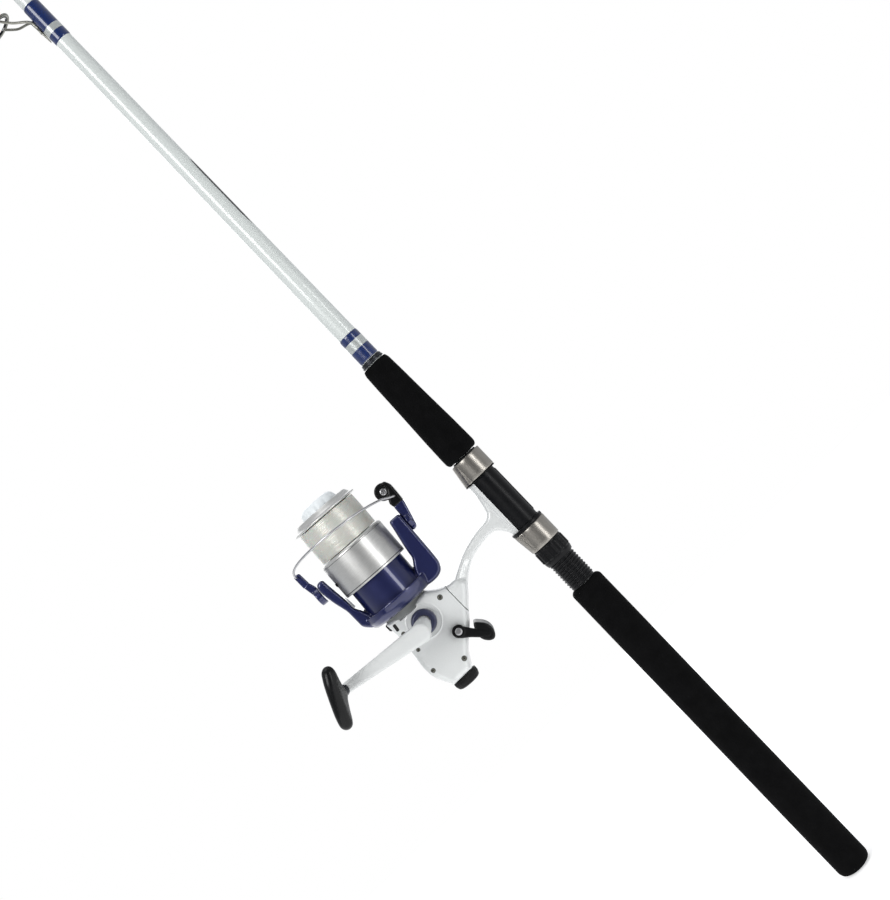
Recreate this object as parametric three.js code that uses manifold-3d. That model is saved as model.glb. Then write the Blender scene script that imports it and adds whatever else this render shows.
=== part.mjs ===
// A two-piece spinning rod with its reel, in millimetres, standing on its butt with the tip up (+Z).
// The origin is the centre of the flat butt end. The reel hangs on the -X side, the crank on the -Y side.
import * as THREE from "three";
import { mergeVertices } from "three/addons/utils/BufferGeometryUtils.js";
import Module from "manifold-3d";

const wasm = await Module();
wasm.setup();

const DEG = Math.PI / 180;
const GAP = 0.3; // running gap between touching pieces

// ---- driving dimensions of the rod ----
const ROD_LENGTH = 2438;
const FERRULE_Z = 1219; // where the two halves meet
const FERRULE_DEPTH = 75; // how far the tip half slides over the butt half
const BLANK_ROOT_R = 8.6; // blank radius just above the handle
const BLANK_ROOT_Z = 560;
const BLANK_TIP_R = 1.25;
const WALL = 1.1; // blank wall
const GRIP_R = 15;
const GRIP_TOP = 315;
const SEAT_R = 11.4; // smooth barrel of the reel seat
const THREAD_R = 11.75;
const THREAD_PITCH = 2.7;
const THREAD_TURNS = 14;
const NUT_Z = [342, 358.7];
const MOVING_HOOD_Z = [359, 381];
const FIXED_HOOD_Z = [433, 453];
const HOOD_R = 14;
const HOOD_LEAN = 2.8; // how far a hood's mouth leans out over the reel foot
const FORE_GRIP_Z = [454.5, 558];
const WRAP_RISE = 0.5; // thread and epoxy above the blank

// ---- driving dimensions of the reel ----
const REEL_AXIS_X = -118; // where the rotor axis passes the crank's height
const CRANK_Z = 382.5;
const REEL_TILT = 2.86 * DEG; // the rotor axis leans towards the rod
const HYPOID_OFFSET = 5.6; // the crank axis passes beside the main shaft
const ARM_SWING = 5.2 * DEG; // how far the crank arm stands above square
const ARM_REACH = 76; // crank axis to knob spindle
const ROTOR_ARM_R = 45.5;
const SPOOL_R = 30;
const LINE_R = 27.2;
const BAIL_PIVOT_W = 68; // along the rotor axis from the crank's height
const SHAFT_R = 1.9;
const SHAFT_W = [-37, 120.6]; // the main shaft's two ends
const STROKE = 9; // the spool moves this far each way
const GEAR_TEETH = 36;
const PINION_TEETH = 8;
const TOOTH_MODULE = 0.9;
const OSCILLATION_TEETH = 28;
const OSCILLATION_PINION_TEETH = 12;

// ---- finishes ----
const FINISH = {
  foam: [0x141414, 0.95, 0],
  rubber: [0x1a1a1a, 0.85, 0],
  seat: [0x161616, 0.5, 0],
  smoke: [0x77746f, 0.2, 1],
  check: [0x3a3c40, 0.35, 0.8],
  blank: [0xeef0ee, 0.2, 0],
  thread: [0x0f2350, 0.15, 0.2],
  frame: [0x6e6f68, 0.3, 0.9],
  ceramic: [0x101214, 0.15, 0],
  pearl: [0xd9dcdb, 0.25, 0.1],
  navy: [0x141a4a, 0.15, 0.3],
  black: [0x17181a, 0.35, 0],
  steel: [0xb9babc, 0.25, 1],
  brass: [0xb08d4a, 0.35, 1],
  zinc: [0x9a9c9e, 0.45, 0.9],
  silver: [0xa9aaac, 0.3, 0.9],
  line: [0xe6e4d8, 0.4, 0],
  clear: [0xe4e8ea, 0.2, 0],
  felt: [0x4a4038, 0.95, 0],
};

// ---- small geometry helpers ----
function bare(geometry) {
  const copy = geometry.clone();
  copy.deleteAttribute("normal");
  copy.deleteAttribute("uv");
  return mergeVertices(copy, 1e-4);
}

function solid(geometry) {
  const merged = bare(geometry);
  const mesh = new wasm.Mesh({
    numProp: 3,
    vertProperties: new Float32Array(merged.attributes.position.array),
    triVerts: new Uint32Array(merged.index.array),
  });
  return new wasm.Manifold(mesh);
}

function geometryOf(manifold) {
  const mesh = manifold.getMesh();
  const geometry = new THREE.BufferGeometry();
  geometry.setAttribute("position", new THREE.BufferAttribute(new Float32Array(mesh.vertProperties), 3));
  geometry.setIndex(new THREE.BufferAttribute(new Uint32Array(mesh.triVerts), 1));
  return geometry;
}

function join(...geometries) {
  return geometryOf(geometries.map(solid).reduce((sum, next) => sum.add(next)));
}

function cut(base, ...tools) {
  return geometryOf(tools.map(solid).reduce((rest, tool) => rest.subtract(tool), solid(base)));
}

function common(a, b) {
  return geometryOf(solid(a).intersect(solid(b)));
}

// A ring or disc turned about Z from a closed outline of [radius, height] points.
function turned(outline, segments = 24) {
  let area = 0;
  outline.forEach(([r, z], i) => {
    const [nextR, nextZ] = outline[(i + 1) % outline.length];
    area += r * nextZ - nextR * z;
  });
  const ordered = area > 0 ? outline : [...outline].reverse();
  const points = [...ordered, ordered[0]].map(([r, z]) => new THREE.Vector2(r, z));
  return new THREE.LatheGeometry(points, segments).rotateX(90 * DEG);
}

// A plain tube or rod about Z.
function tube(outer, inner, low, high, segments = 24) {
  if (inner > 0) {
    return turned([[inner, low], [outer, low], [outer, high], [inner, high]], segments);
  }
  return new THREE.CylinderGeometry(outer, outer, high - low, segments)
    .rotateX(90 * DEG)
    .translate(0, 0, (low + high) / 2);
}

// The same, about Y.
function tubeY(outer, inner, low, high, segments = 20) {
  return tube(outer, inner, -high, -low, segments).rotateX(90 * DEG);
}

// The same, about X.
function tubeX(outer, inner, low, high, segments = 24) {
  return tube(outer, inner, low, high, segments).rotateY(90 * DEG);
}

function box(x, y, z) {
  const size = [x, y, z].map(([low, high]) => high - low);
  const middle = [x, y, z].map(([low, high]) => (low + high) / 2);
  return new THREE.BoxGeometry(...size).translate(...middle);
}

// A side view outline of [x, z] points, given a thickness along Y with rounded edges.
function slab(outline, low, high, bevel = 0, steps = 3, offset = 0, inset = bevel) {
  const shape = new THREE.Shape(outline.map(([x, z]) => new THREE.Vector2(x, z)));
  const geometry = new THREE.ExtrudeGeometry(shape, {
    depth: high - low - 2 * bevel,
    bevelEnabled: bevel > 0 || offset !== 0,
    bevelThickness: bevel,
    bevelSize: inset,
    bevelOffset: offset - inset,
    bevelSegments: steps,
    steps: 1,
  });
  return geometry.rotateX(90 * DEG).translate(0, high - bevel, 0);
}

// A smooth closed or open run of points through the given ones.
function smooth(points, count, closed = true) {
  const curve = new THREE.CatmullRomCurve3(
    points.map(([x, z]) => new THREE.Vector3(x, 0, z)),
    closed,
    "centripetal",
  );
  const run = curve.getPoints(count);
  return (closed ? run.slice(0, -1) : run).map((p) => [p.x, p.z]);
}

// A round bar swept along a smooth path of [x, y, z] points.
function bar(points, radius, steps, sides = 10) {
  const path = points.map((point) => new THREE.Vector3(...point));
  const curve = new THREE.CatmullRomCurve3(path, false, "centripetal");
  const section = new THREE.Shape();
  section.absarc(0, 0, radius, 0, 2 * Math.PI);
  return new THREE.ExtrudeGeometry(section, {
    steps,
    curveSegments: sides,
    extrudePath: curve,
    bevelEnabled: false,
  });
}

function piece(name, geometry, finish, parent) {
  const [color, roughness, metalness] = FINISH[finish];
  const material = new THREE.MeshStandardMaterial({ color, roughness, metalness });
  const mesh = new THREE.Mesh(geometry, material);
  mesh.name = name;
  parent.add(mesh);
  return mesh;
}

const fishingRod = new THREE.Group();

// ================= the rod =================
function blankRadius(z) {
  const share = (z - BLANK_ROOT_Z) / (ROD_LENGTH - BLANK_ROOT_Z);
  return BLANK_ROOT_R + (BLANK_TIP_R - BLANK_ROOT_R) * Math.max(share, 0);
}

// The butt half of the blank, with the spigot that carries the tip half.
function makeButtBlank() {
  const plugTop = FERRULE_Z + FERRULE_DEPTH - 8;
  const spigot = blankRadius(FERRULE_Z) - WALL - GAP;
  const end = FERRULE_Z - 1;
  const r = blankRadius(end);
  const root = blankRadius(0);
  return turned([
    [root - WALL, 16], [root, 16], [root, BLANK_ROOT_Z], [r, end], [spigot, end], [spigot - 0.25, plugTop],
    [spigot - 1.4, plugTop], [spigot - 1.4, end - 30], [r - WALL, end - 60], [root - WALL, BLANK_ROOT_Z],
  ], 20);
}

function makeTipBlank() {
  const low = FERRULE_Z;
  const high = ROD_LENGTH - 4;
  const lowR = blankRadius(low);
  const highR = blankRadius(high);
  const socketTop = low + FERRULE_DEPTH;
  const socket = lowR - WALL;
  return turned([
    [socket, low], [lowR, low], [highR, high], [highR * 0.45, high], [socket - 0.9, socketTop + 4],
    [socket, socketTop],
  ], 20);
}

function makeRearGrip() {
  const bore = BLANK_ROOT_R + GAP;
  return turned([
    [9.3, 0], [GRIP_R - 4.5, 0], [GRIP_R - 1.3, 1.3], [GRIP_R, 4.5], [GRIP_R, GRIP_TOP - 3],
    [12.2, GRIP_TOP], [bore, GRIP_TOP], [bore, 15], [9.3, 15],
  ]);
}

function makeButtCap() {
  return turned([[0, 0], [9, 0], [9, 14.6], [7.6, 15.6], [0, 15.6]], 24);
}

// The barrel: thread at the butt end, smooth under the reel foot.
function makeReelSeatTube() {
  const bore = BLANK_ROOT_R + GAP;
  const outline = [[bore, GRIP_TOP + GAP], [SEAT_R - 0.4, GRIP_TOP + GAP]];
  for (let turn = 0; turn < THREAD_TURNS; turn += 1) {
    const z = GRIP_TOP + 1.6 + turn * THREAD_PITCH;
    outline.push([SEAT_R - 0.4, z], [THREAD_R, z + THREAD_PITCH / 2]);
  }
  const end = FORE_GRIP_Z[0] - GAP;
  outline.push([SEAT_R - 0.4, 356], [SEAT_R, 357], [SEAT_R, end], [bore, end]);
  return turned(outline, 18);
}

function makeLockingNut() {
  const [low, high] = NUT_Z;
  const bore = THREAD_R + 0.2;
  return turned([[bore, low], [12.3, low], [HOOD_R, low + 3.4], [HOOD_R, high], [bore, high]]);
}

// A cylinder whose axis leans towards -X, from lean0 at the low end to lean1 at the high end.
function leaning(radius, low, high, lean0, lean1, segments = 24) {
  const geometry = tube(radius, 0, low, high, segments);
  const position = geometry.attributes.position;
  for (let i = 0; i < position.count; i += 1) {
    const share = (position.getZ(i) - low) / (high - low);
    position.setX(i, position.getX(i) - lean0 - (lean1 - lean0) * share);
  }
  return geometry;
}

// The outer form of a hood: a round sleeve with a wedge that leans out over the reel foot.
function hoodForm(radius, low, high, lean0, lean1, halfWidth) {
  const wedge = common(
    leaning(radius, low, high, lean0, lean1),
    box([-30, 0], [-halfWidth, halfWidth], [low - 1, high + 1]),
  );
  return join(tube(radius, 0, low, high), wedge);
}

// A hood is a metal cover over a black liner; the liner stands proud of the cover at the mouth.
function makeHood(parent, name, back, mouth, barrelR) {
  const lip = 3;
  const up = mouth > back;
  const coverMouth = up ? mouth - lip : mouth + 1.4;
  const span = (from, to) => [Math.min(from, to), Math.max(from, to)];
  const leans = (from, to) => {
    const lean = (z) => (HOOD_LEAN * (z - back)) / (mouth - back);
    const [low, high] = span(from, to);
    return [low, high, lean(low), lean(high)];
  };
  const coverWall = 0.7;
  const linerR = HOOD_R - coverWall - GAP;
  const coverForm = hoodForm(HOOD_R, ...leans(back, coverMouth), 10.2);
  const coverBore = hoodForm(HOOD_R - coverWall, ...leans(back - (mouth - back), mouth * 2 - back), 9.4);
  piece(name + "_cover", cut(coverForm, coverBore), "smoke", parent);
  const linerBody = hoodForm(linerR, ...leans(back, mouth), 9.1);
  const lipForm = hoodForm(HOOD_R, ...leans(coverMouth + (up ? GAP : -GAP), mouth), 10.2);
  const footPocket = common(
    leaning(12.55, ...leans(back - 2 * (mouth - back), mouth * 2 - back)),
    box([-30, 0], [-8.5, 8.5], [back - 60, back + 60]),
  );
  const barrel = tube(barrelR, 0, back - 60, back + 60);
  piece(name + "_liner", cut(join(linerBody, lipForm), barrel, footPocket), "seat", parent);
}

function makeForeGrip() {
  const [low, high] = FORE_GRIP_Z;
  const bore = BLANK_ROOT_R + GAP;
  return turned([
    [bore, low], [13.6, low], [15.2, low + 3], [14.9, low + 25], [13.6, high - 45], [12.4, high - 4],
    [11.4, high - 0.8], [bore, high - 0.8],
  ]);
}

function makeWindingCheck() {
  const low = FORE_GRIP_Z[1];
  const bore = BLANK_ROOT_R + GAP;
  return turned([[bore, low], [10.4, low], [9.7, low + 3.4], [bore, low + 4]], 24);
}

// Thread wrapping under epoxy, thicker over a guide's foot.
function makeWrap(low, high, rise) {
  const outer = (z) => blankRadius(z) + rise;
  const inner = (z) => blankRadius(z) + 0.12;
  return turned([
    [inner(low), low], [outer(low) - rise * 0.5, low], [outer(low), low + 2], [outer(high), high - 2],
    [outer(high) - rise * 0.5, high], [inner(high), high],
  ], 20);
}

// The running guides: name, height of the foot's toe, ring radius, wire radius.
const GUIDES = [
  ["stripper_guide", 943, 13, 1.15],
  ["guide_2", 1330, 9.5, 1.0],
  ["guide_3", 1620, 7.5, 0.85],
  ["guide_4", 1860, 6, 0.75],
  ["guide_5", 2065, 5, 0.7],
  ["guide_6", 2250, 4.2, 0.6],
];
const RING_LEAN = 14 * DEG;

// Puts a ring drawn flat at the origin where a guide holds it; the foot lies on its underwrap.
function guideRing([, z, ringR, wire]) {
  const surface = -blankRadius(z - ringR) - WRAP_RISE - GAP - wire * 0.9;
  const ringX = surface - ringR * 1.55 - 3;
  const ringZ = z + ringR * 0.9 + 4;
  const place = (geometry) => geometry.rotateY(-RING_LEAN).translate(ringX, 0, ringZ);
  return { surface, ringX, ringZ, place };
}

// A ring held off the blank by two legs that come off one foot.
function makeGuide(guide) {
  const [, z, ringR, wire] = guide;
  const { surface, ringX, ringZ, place } = guideRing(guide);
  const large = ringR > 10;
  const rim = place(new THREE.TorusGeometry(ringR, wire * 1.15, large ? 8 : 5, large ? 20 : 12));
  const legs = [1, -1].map((side) => bar([
    [surface - wire * 0.35, side * wire * 0.9, z - ringR * 0.9],
    [surface - wire * 0.35, side * wire * 0.9, z],
    [(surface + ringX) / 2, side * ringR * 0.7, (z + ringZ) / 2],
    [ringX + ringR * 0.25, side * (ringR + wire * 0.4), ringZ + ringR * 0.06],
  ], wire, large ? 8 : 4, 2));
  const foot = box(
    [surface - wire * 0.5, surface + wire * 0.8],
    [-wire * 1.7, wire * 1.7],
    [z - ringR * 0.9 - 10, z + 1],
  );
  return join(rim, ...legs, foot);
}

// The hard ring set in the stripper guide.
function makeStripperInsert() {
  const [, , ringR, wire] = GUIDES[0];
  const outer = ringR - wire * 1.15 - GAP;
  return guideRing(GUIDES[0]).place(tube(outer, outer - 1.3, -0.9, 0.9, 20));
}

function makeTipTop() {
  const r = blankRadius(ROD_LENGTH - 12);
  const ringR = 3.4;
  const sleeve = tube(r + 0.9, 0, ROD_LENGTH - 15, ROD_LENGTH - 2.4, 14);
  const bore = tube(r + 0.2, 0, ROD_LENGTH - 16, ROD_LENGTH - 3.6, 14);
  const rim = new THREE.TorusGeometry(ringR, 0.9, 8, 16)
    .rotateY(-50 * DEG)
    .translate(-r - 2.6, 0, ROD_LENGTH - 5);
  return cut(join(sleeve, rim), bore);
}

// ================= the reel =================
// Lengths along the rotor axis are called w and start at the crank's height; u is square to it from the side.
// From the main shaft's axis to the pitch line of the face teeth.
const MESH_DISTANCE = (TOOTH_MODULE * PINION_TEETH) / 2;
const MESH_W = (TOOTH_MODULE * GEAR_TEETH) / 2; // crank axis to the middle of the mesh
const BODY_HALF = 19; // half thickness of the gear housing
const SHELL = 2.6;
const PARTING_Y = -8;
const PLATE_END_X = -82;
const CRANK_BOSS_Y = -22.5;
const FOOT_R = SEAT_R + GAP;
const FOOT_TOP_LEAN = 2.7;
const LEVER_X = -98.2; // the feeder lever's pivot
const LEVER_Z = 357.7;

function tilted(geometry) {
  return geometry.rotateY(REEL_TILT).translate(REEL_AXIS_X, 0, CRANK_Z);
}

// Where the crank axis passes, in the object's frame.
const CRANK_X = REEL_AXIS_X + HYPOID_OFFSET * Math.cos(REEL_TILT);
const CRANK_AXIS_Z = CRANK_Z - HYPOID_OFFSET * Math.sin(REEL_TILT);

const LEVER_TURN = 43 * DEG; // how far the rear lever points down from square

const BODY_RIGHT = [
  [-97, 398.6], [-88, 392.3], [-80, 389.3], [-71.5, 388.3], [-66.5, 382.5], [-70, 376],
  [-79, 366], [-89, 354.5], [-97, 347], [-104, 339.5], [-111, 328.8],
];
const BODY_LEFT = [
  [-131, 328.8], [-134.5, 336], [-138, 344], [-139, 355], [-137.6, 368], [-136.2, 385], [-137, 400.2],
];

function bodyForm(offset, half, bevel, inset, steps = 2) {
  const outline = [...smooth(BODY_RIGHT, 18, false), ...smooth(BODY_LEFT, 10, false)];
  return slab(outline, -half, half, bevel, steps, offset, inset);
}

// The curved foot blade under the two hoods, with the stem that carries the gear housing.
function makeFootAndStem() {
  const blade = [
    [369, 381, 0.9, FOOT_TOP_LEAN],
    [381, 434, FOOT_TOP_LEAN, FOOT_TOP_LEAN],
    [434, 445, FOOT_TOP_LEAN, 0.9],
  ].map((part) => leaning(12.1, ...part));
  const half = box([-30, -4], [-8, 8], [360, 450]);
  return cut(join(common(join(...blade), half), makeStem()), tube(FOOT_R, 0, 350, 460));
}

function makeStem() {
  const top = [
    [-12.8, 434], [-14.8, 424], [-16.5, 415], [-19, 407.5], [-24, 404.6],
    [-33, 403.6], [-48, 400.3], [-60, 395.6], [-70, 390.5], [-78, 387],
  ];
  const bottom = [
    [-78, 372], [-70, 376.5], [-62, 383.7], [-50, 390.9], [-38, 393.6],
    [-29, 394.6], [-23, 393.6], [-18.5, 389], [-14.8, 383], [-12.8, 376],
  ];
  const outline = [[-8, 434], ...smooth(top, 14, false), ...smooth(bottom, 14, false), [-8, 376]];
  return slab(outline, -6.5, 6.5, 3.6, 2, 0, 2.2);
}

// The body without its hollow; the near side of it, up to the seam by the stem, is the side plate.
function bodyShell() {
  return cut(bodyForm(0, BODY_HALF, 7, 4.2), bodyForm(-SHELL, BODY_HALF - SHELL, 6, 2.6, 1));
}

function makeHousing() {
  const atCrank = (geometry) => geometry.translate(CRANK_X, 0, CRANK_AXIS_Z);
  const plateSide = box([-160, PLATE_END_X + GAP / 2], [-40, PARTING_Y + GAP / 2], [320, 402]);
  const neck = tilted(tube(20, 0, 14, 24.5, 32));
  const neckHollow = tilted(tube(17.4, 0, 8, 19.3, 32));
  const bearingSeat = tilted(join(tube(11.3, 0, 20.5, 30), tube(7.4, 0, 18, 22)));
  const farBoss = atCrank(tubeY(9.5, 0, 11.5, BODY_HALF, 28));
  const farBearing = atCrank(tubeY(8.3, 0, 5, 16.3, 28));
  const farBore = atCrank(tubeY(4, 0, 5, 30));
  const gearPost = tilted(tubeY(2, 0, 5.2, BODY_HALF - 1, 16).translate(0, 0, oscillationCentreW()));
  const gearRoom = atCrank(tubeY(19.1, 0, -9.5, -2, 32));
  const tailBore = tilted(tube(4.3, 0, -60, -45));
  return cut(
    join(cut(bodyShell(), plateSide), neck, farBoss, gearPost, makeFootAndStem()),
    neckHollow, bearingSeat, farBearing, farBore, tailBore, gearRoom,
  );
}

function oscillationCentreW() {
  const centres = (OSCILLATION_TEETH + OSCILLATION_PINION_TEETH) / 2;
  return -Math.sqrt(centres * centres - HYPOID_OFFSET * HYPOID_OFFSET);
}

const PLATE_SCREWS = [[-90.5, 387, 2.2], [-110, 339, 2.2], [-134.3, 349, 1.8], [-131.5, 369, 1.8]];

function makeSidePlate() {
  const atCrank = (geometry) => geometry.translate(CRANK_X, 0, CRANK_AXIS_Z);
  const bossOutline = [[0, 12], [0, 22.5], [12, 22.5], [13.4, 21.5], [14.6, 18], [10.5, 16], [10.5, 12]];
  const mouldedBoss = atCrank(turned(bossOutline, 36).rotateX(90 * DEG));
  const bearingBore = atCrank(tubeY(8.3, 0, -16.6, -5, 28));
  const shaftBore = atCrank(tubeY(5.6, 0, -30, -5, 28));
  const near = box([-160, PLATE_END_X - GAP / 2], [-40, PARTING_Y - GAP / 2], [320, 402]);
  const holes = PLATE_SCREWS.map(([x, z, r]) => tubeY(r + GAP, 0, -30, -5, 12).translate(x, 0, z));
  const leverBore = tubeY(1.6, 0, -30, -5, 12).translate(LEVER_X, 0, LEVER_Z);
  const neckRoom = tilted(tube(20 + GAP, 0, 13.7, 30, 32));
  const plate = common(join(bodyShell(), mouldedBoss), near);
  return cut(plate, bearingBore, shaftBore, leverBore, neckRoom, ...holes);
}

function makePlateScrew(x, z, r) {
  const edge = Math.min(Math.abs(x + 139), 6) / 6;
  const depth = -BODY_HALF + 1.2 + (1 - edge) * 2;
  const head = tubeY(r, 0, depth, depth + 1.6, 12);
  const shank = tubeY(r - 0.6, 0, depth + 1.5, -7.6, 12);
  return join(head, shank).translate(x, 0, z);
}

// ---- gears ----
// A spur gear outline with straight-sided teeth; the first tooth points along the given angle.
function gearOutline(teeth, module, firstTooth, addendum = 0.9, dedendum = 1.2) {
  const pitchR = (teeth * module) / 2;
  const half = (Math.PI / (2 * teeth)) * 0.84;
  const points = [];
  for (let i = 0; i < teeth; i += 1) {
    const middle = firstTooth + (i * 2 * Math.PI) / teeth;
    const corner = (r, angle) => points.push([r * Math.cos(angle), r * Math.sin(angle)]);
    corner(pitchR - dedendum * module, middle - half * 1.45);
    corner(pitchR + addendum * module, middle - half * 0.5);
    corner(pitchR + addendum * module, middle + half * 0.5);
    corner(pitchR - dedendum * module, middle + half * 1.45);
  }
  return points;
}

// The drive gear: a disc of face teeth, each in line with the main shaft as it passes the pinion.
function makeDriveGear() {
  const toothTip = -(MESH_DISTANCE - 0.8 * TOOTH_MODULE);
  const toothRoot = -(MESH_DISTANCE + 1.25 * TOOTH_MODULE);
  const inner = MESH_W - 1.7;
  const outer = MESH_W + 1;
  const discR = Math.hypot(outer, HYPOID_OFFSET) + 0.3;
  const discBack = toothRoot - 3;
  const tooth = (k) => {
    const wide = (z) => (z * Math.PI) / GEAR_TEETH;
    const profile = (z) => [
      [-wide(z) * 0.48, toothRoot - 0.2], [wide(z) * 0.48, toothRoot - 0.2],
      [wide(z) * 0.22, toothTip], [-wide(z) * 0.22, toothTip],
    ];
    const corners = [inner, outer].flatMap((z) => profile(z).map(([x, y]) => [x - HYPOID_OFFSET, y, z]));
    const ends = [2, 1, 0, 3, 2, 0, 5, 6, 4, 6, 7, 4];
    const sides = [0, 1, 2, 3].flatMap((a) => {
      const b = (a + 1) % 4;
      return [b, b + 4, a, b + 4, a + 4, a];
    });
    const geometry = new THREE.BufferGeometry();
    geometry.setAttribute("position", new THREE.Float32BufferAttribute(corners.flat(), 3));
    geometry.setIndex([...ends, ...sides]);
    // Half a tooth on, so that a gap faces the pinion's tooth.
    return geometry.rotateY(((k + 0.5) * 2 * Math.PI) / GEAR_TEETH);
  };
  const teeth = Array.from({ length: GEAR_TEETH }, (_, k) => tooth(k));
  const disc = tubeY(discR, 0, discBack, toothRoot, 36);
  const shaft = tubeY(3.2, 0, CRANK_BOSS_Y + GAP, BODY_HALF + 0.2, 20);
  const spur = slab(
    gearOutline(OSCILLATION_PINION_TEETH, 1, oscillationAngle()), 5.5, 9.6,
  );
  return join(disc, shaft, spur, ...teeth);
}

// Direction from the crank axis to the oscillation gear in side view.
function oscillationAngle() {
  return Math.atan2(oscillationCentreW(), -HYPOID_OFFSET);
}

function makeOscillationGear() {
  const halfPitch = Math.PI / OSCILLATION_TEETH;
  const towardsCrank = oscillationAngle() + Math.PI;
  const wheel = slab(gearOutline(OSCILLATION_TEETH, 1, towardsCrank + halfPitch), 5.8, 9.2);
  const hub = tubeY(5, 0, 9, 15.6, 16);
  const pin = tubeY(1.5, 0, 3.7, 6.5, 12).translate(-STROKE, 0, 0);
  const bore = tubeY(2.3, 0, 4, 20, 16);
  return cut(join(wheel, hub, pin), bore);
}

function makeSlider() {
  const block = slab(
    smooth([[-12, 0], [-10, 3.6], [0, 4.4], [10, 3.6], [12, 0], [10, -3.6], [0, -4.4], [-10, -3.6]], 24),
    -2.4, 3.3, 0.8, 1,
  ).translate(0, 0, oscillationCentreW());
  return cut(block, tube(SHAFT_R + GAP, 0, -40, 0, 16));
}

function makePinion() {
  const teeth = gearOutline(PINION_TEETH, TOOTH_MODULE, -90 * DEG, 0.8, 1.2);
  const shape = new THREE.Shape(teeth.map(([x, y]) => new THREE.Vector2(x, y)));
  const cog = new THREE.ExtrudeGeometry(shape, { depth: 5.4, bevelEnabled: false }).translate(0, 0, 13.5);
  const sleeve = tube(5.7, 0, 18.85, 38.5, 24);
  return cut(join(cog, sleeve), tube(SHAFT_R + 0.25, 0, 10, 42, 20));
}

// ---- rotor, bail and roller ----
const ROTOR_RIGHT_ARM = [
  [24, 19], [37, 18.6], [42, 21], [45, 27], [45.4, 36], [ROTOR_ARM_R, 77.5], [35, 77.5], [34.4, 72],
  [31, 50], [30.5, 43], [27, 38], [23.5, 30],
];
const ROTOR_LEFT_ARM = [
  [-23, 19], [-35.4, 27.6], [-36.5, 45], [-40.5, 58], [-42.6, 70], [-42.2, 75], [-40, 77.7], [-35, 77.7],
  [-34.4, 72], [-31, 50], [-30.5, 43], [-27, 38], [-23.5, 30],
];
const BAIL_RIGHT_U = [ROTOR_ARM_R + GAP, 50];
const BAIL_LEFT_U = [-48.6, -42.6 - GAP];

function makeRotor() {
  const bowl = turned([
    [21.5, 18.4], [26.5, 18.4], [29, 20], [31.2, 24], [31.8, 29.2], [30.4, 29.5], [29.6, 27.4],
    [26, 27], [25.5, 28], [25.5, 54], [23.8, 54], [23.8, 31], [9.5, 31], [9.5, 33.5], [6, 33.5],
    [6, 25.4], [21.5, 25.4],
  ], 32);
  const arms = [
    slab(ROTOR_RIGHT_ARM, -12, 12, 3, 2, 0, 1.8),
    slab(ROTOR_LEFT_ARM, -12, 12, 3, 2, 0, 1.8),
  ];
  const drumRoom = tube(23.8, 0, 31, 60, 32);
  const neckRoom = tube(21.5, 0, 10, 25.4, 32);
  const skirtRoom = tube(SPOOL_R + 1.7, 0, 43.2, 90, 32);
  const armsOnly = cut(join(...arms, tube(24.5, 23, 28, 30, 32)), drumRoom, neckRoom, skirtRoom);
  const pivots = [
    tubeX(1.8, 0, 38, 60, 12), tubeX(1.8, 0, -60, -36, 12),
  ].map((geometry) => geometry.translate(0, 0, BAIL_PIVOT_W));
  return cut(join(bowl, armsOnly), ...pivots);
}

const ROLLER_U = 47.2;
const ROLLER_W = 98;

// The arm that carries the line roller between two round cheeks.
function makeBailArm() {
  const [low, high] = BAIL_RIGHT_U;
  const pivot = tubeX(7.6, 0, low, high, 24).translate(0, 0, BAIL_PIVOT_W);
  const lever = slab([
    [low, 60.6], [high - 0.8, 62], [high + 0.6, 70], [54.6, 88], [55.4, 99], [52.6, 104.4], [48, 105.5],
    [48, 92.5], [low + 1.6, 84], [low, 76],
  ], -4, 8, 1.6, 2);
  const cheek = (from, to) => tubeY(7.5, 0, from, to, 28).translate(ROLLER_U, 0, ROLLER_W);
  const rollerRoom = tubeY(9.2, 0, -1, 5.6, 28).translate(ROLLER_U - 2.2, 0, ROLLER_W);
  const screwHole = tubeY(1.6, 0, -20, 20, 12).translate(ROLLER_U, 0, ROLLER_W);
  const screwSeat = tubeY(3.4, 0, -20, -3.2, 16).translate(ROLLER_U, 0, ROLLER_W);
  const pivotHole = tubeX(1.8, 0, 40, 60, 12).translate(0, 0, BAIL_PIVOT_W);
  const headRoom = tubeX(4, 0, high - 1.2, 60, 16).translate(0, 0, BAIL_PIVOT_W);
  return cut(
    join(pivot, lever, cheek(-4, 8)), rollerRoom, screwHole, screwSeat, pivotHole, headRoom, wireRoom(),
  );
}

function makeBailLever() {
  const [low, high] = BAIL_LEFT_U;
  const pivot = tubeX(7.6, 0, low, high, 24).translate(0, 0, BAIL_PIVOT_W);
  const lever = slab([
    [high, 76], [high, 60.6], [low + 0.8, 62], [low - 0.4, 72], [-51.4, 84], [-52, 93.6], [-46.4, 93.6],
    [-45, 84],
  ], -4.5, 4.5, 1.6, 2);
  const pivotHole = tubeX(1.8, 0, -60, -40, 12).translate(0, 0, BAIL_PIVOT_W);
  const headRoom = tubeX(4, 0, -60, low + 1.2, 16).translate(0, 0, BAIL_PIVOT_W);
  return cut(join(pivot, lever), pivotHole, headRoom, wireRoom());
}

function makePivotScrew(side) {
  const [near, far] = side > 0 ? BAIL_RIGHT_U : [...BAIL_LEFT_U].reverse();
  const head = [far - side * 0.9, far + side * 0.4].sort((a, b) => a - b);
  const shank = [near - side * 6, far - side * 0.8].sort((a, b) => a - b);
  return join(tubeX(3.6, 0, ...head, 16), tubeX(1.5, 0, ...shank, 12)).translate(0, 0, BAIL_PIVOT_W);
}

const BAIL_WIRE = [
  [-49.2, 0.4, 90.6], [-49.6, -9, 92], [-46, -26, 96.5], [-36, -45, 99.4],
  [-20, -58, 100.6], [0, -63.4, 100.4], [18, -59, 99.2], [33, -46, 97],
  [43, -30, 94.4], [48, -17, 91.6], [51.6, -8, 90], [52.6, 0, 90],
];

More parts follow.
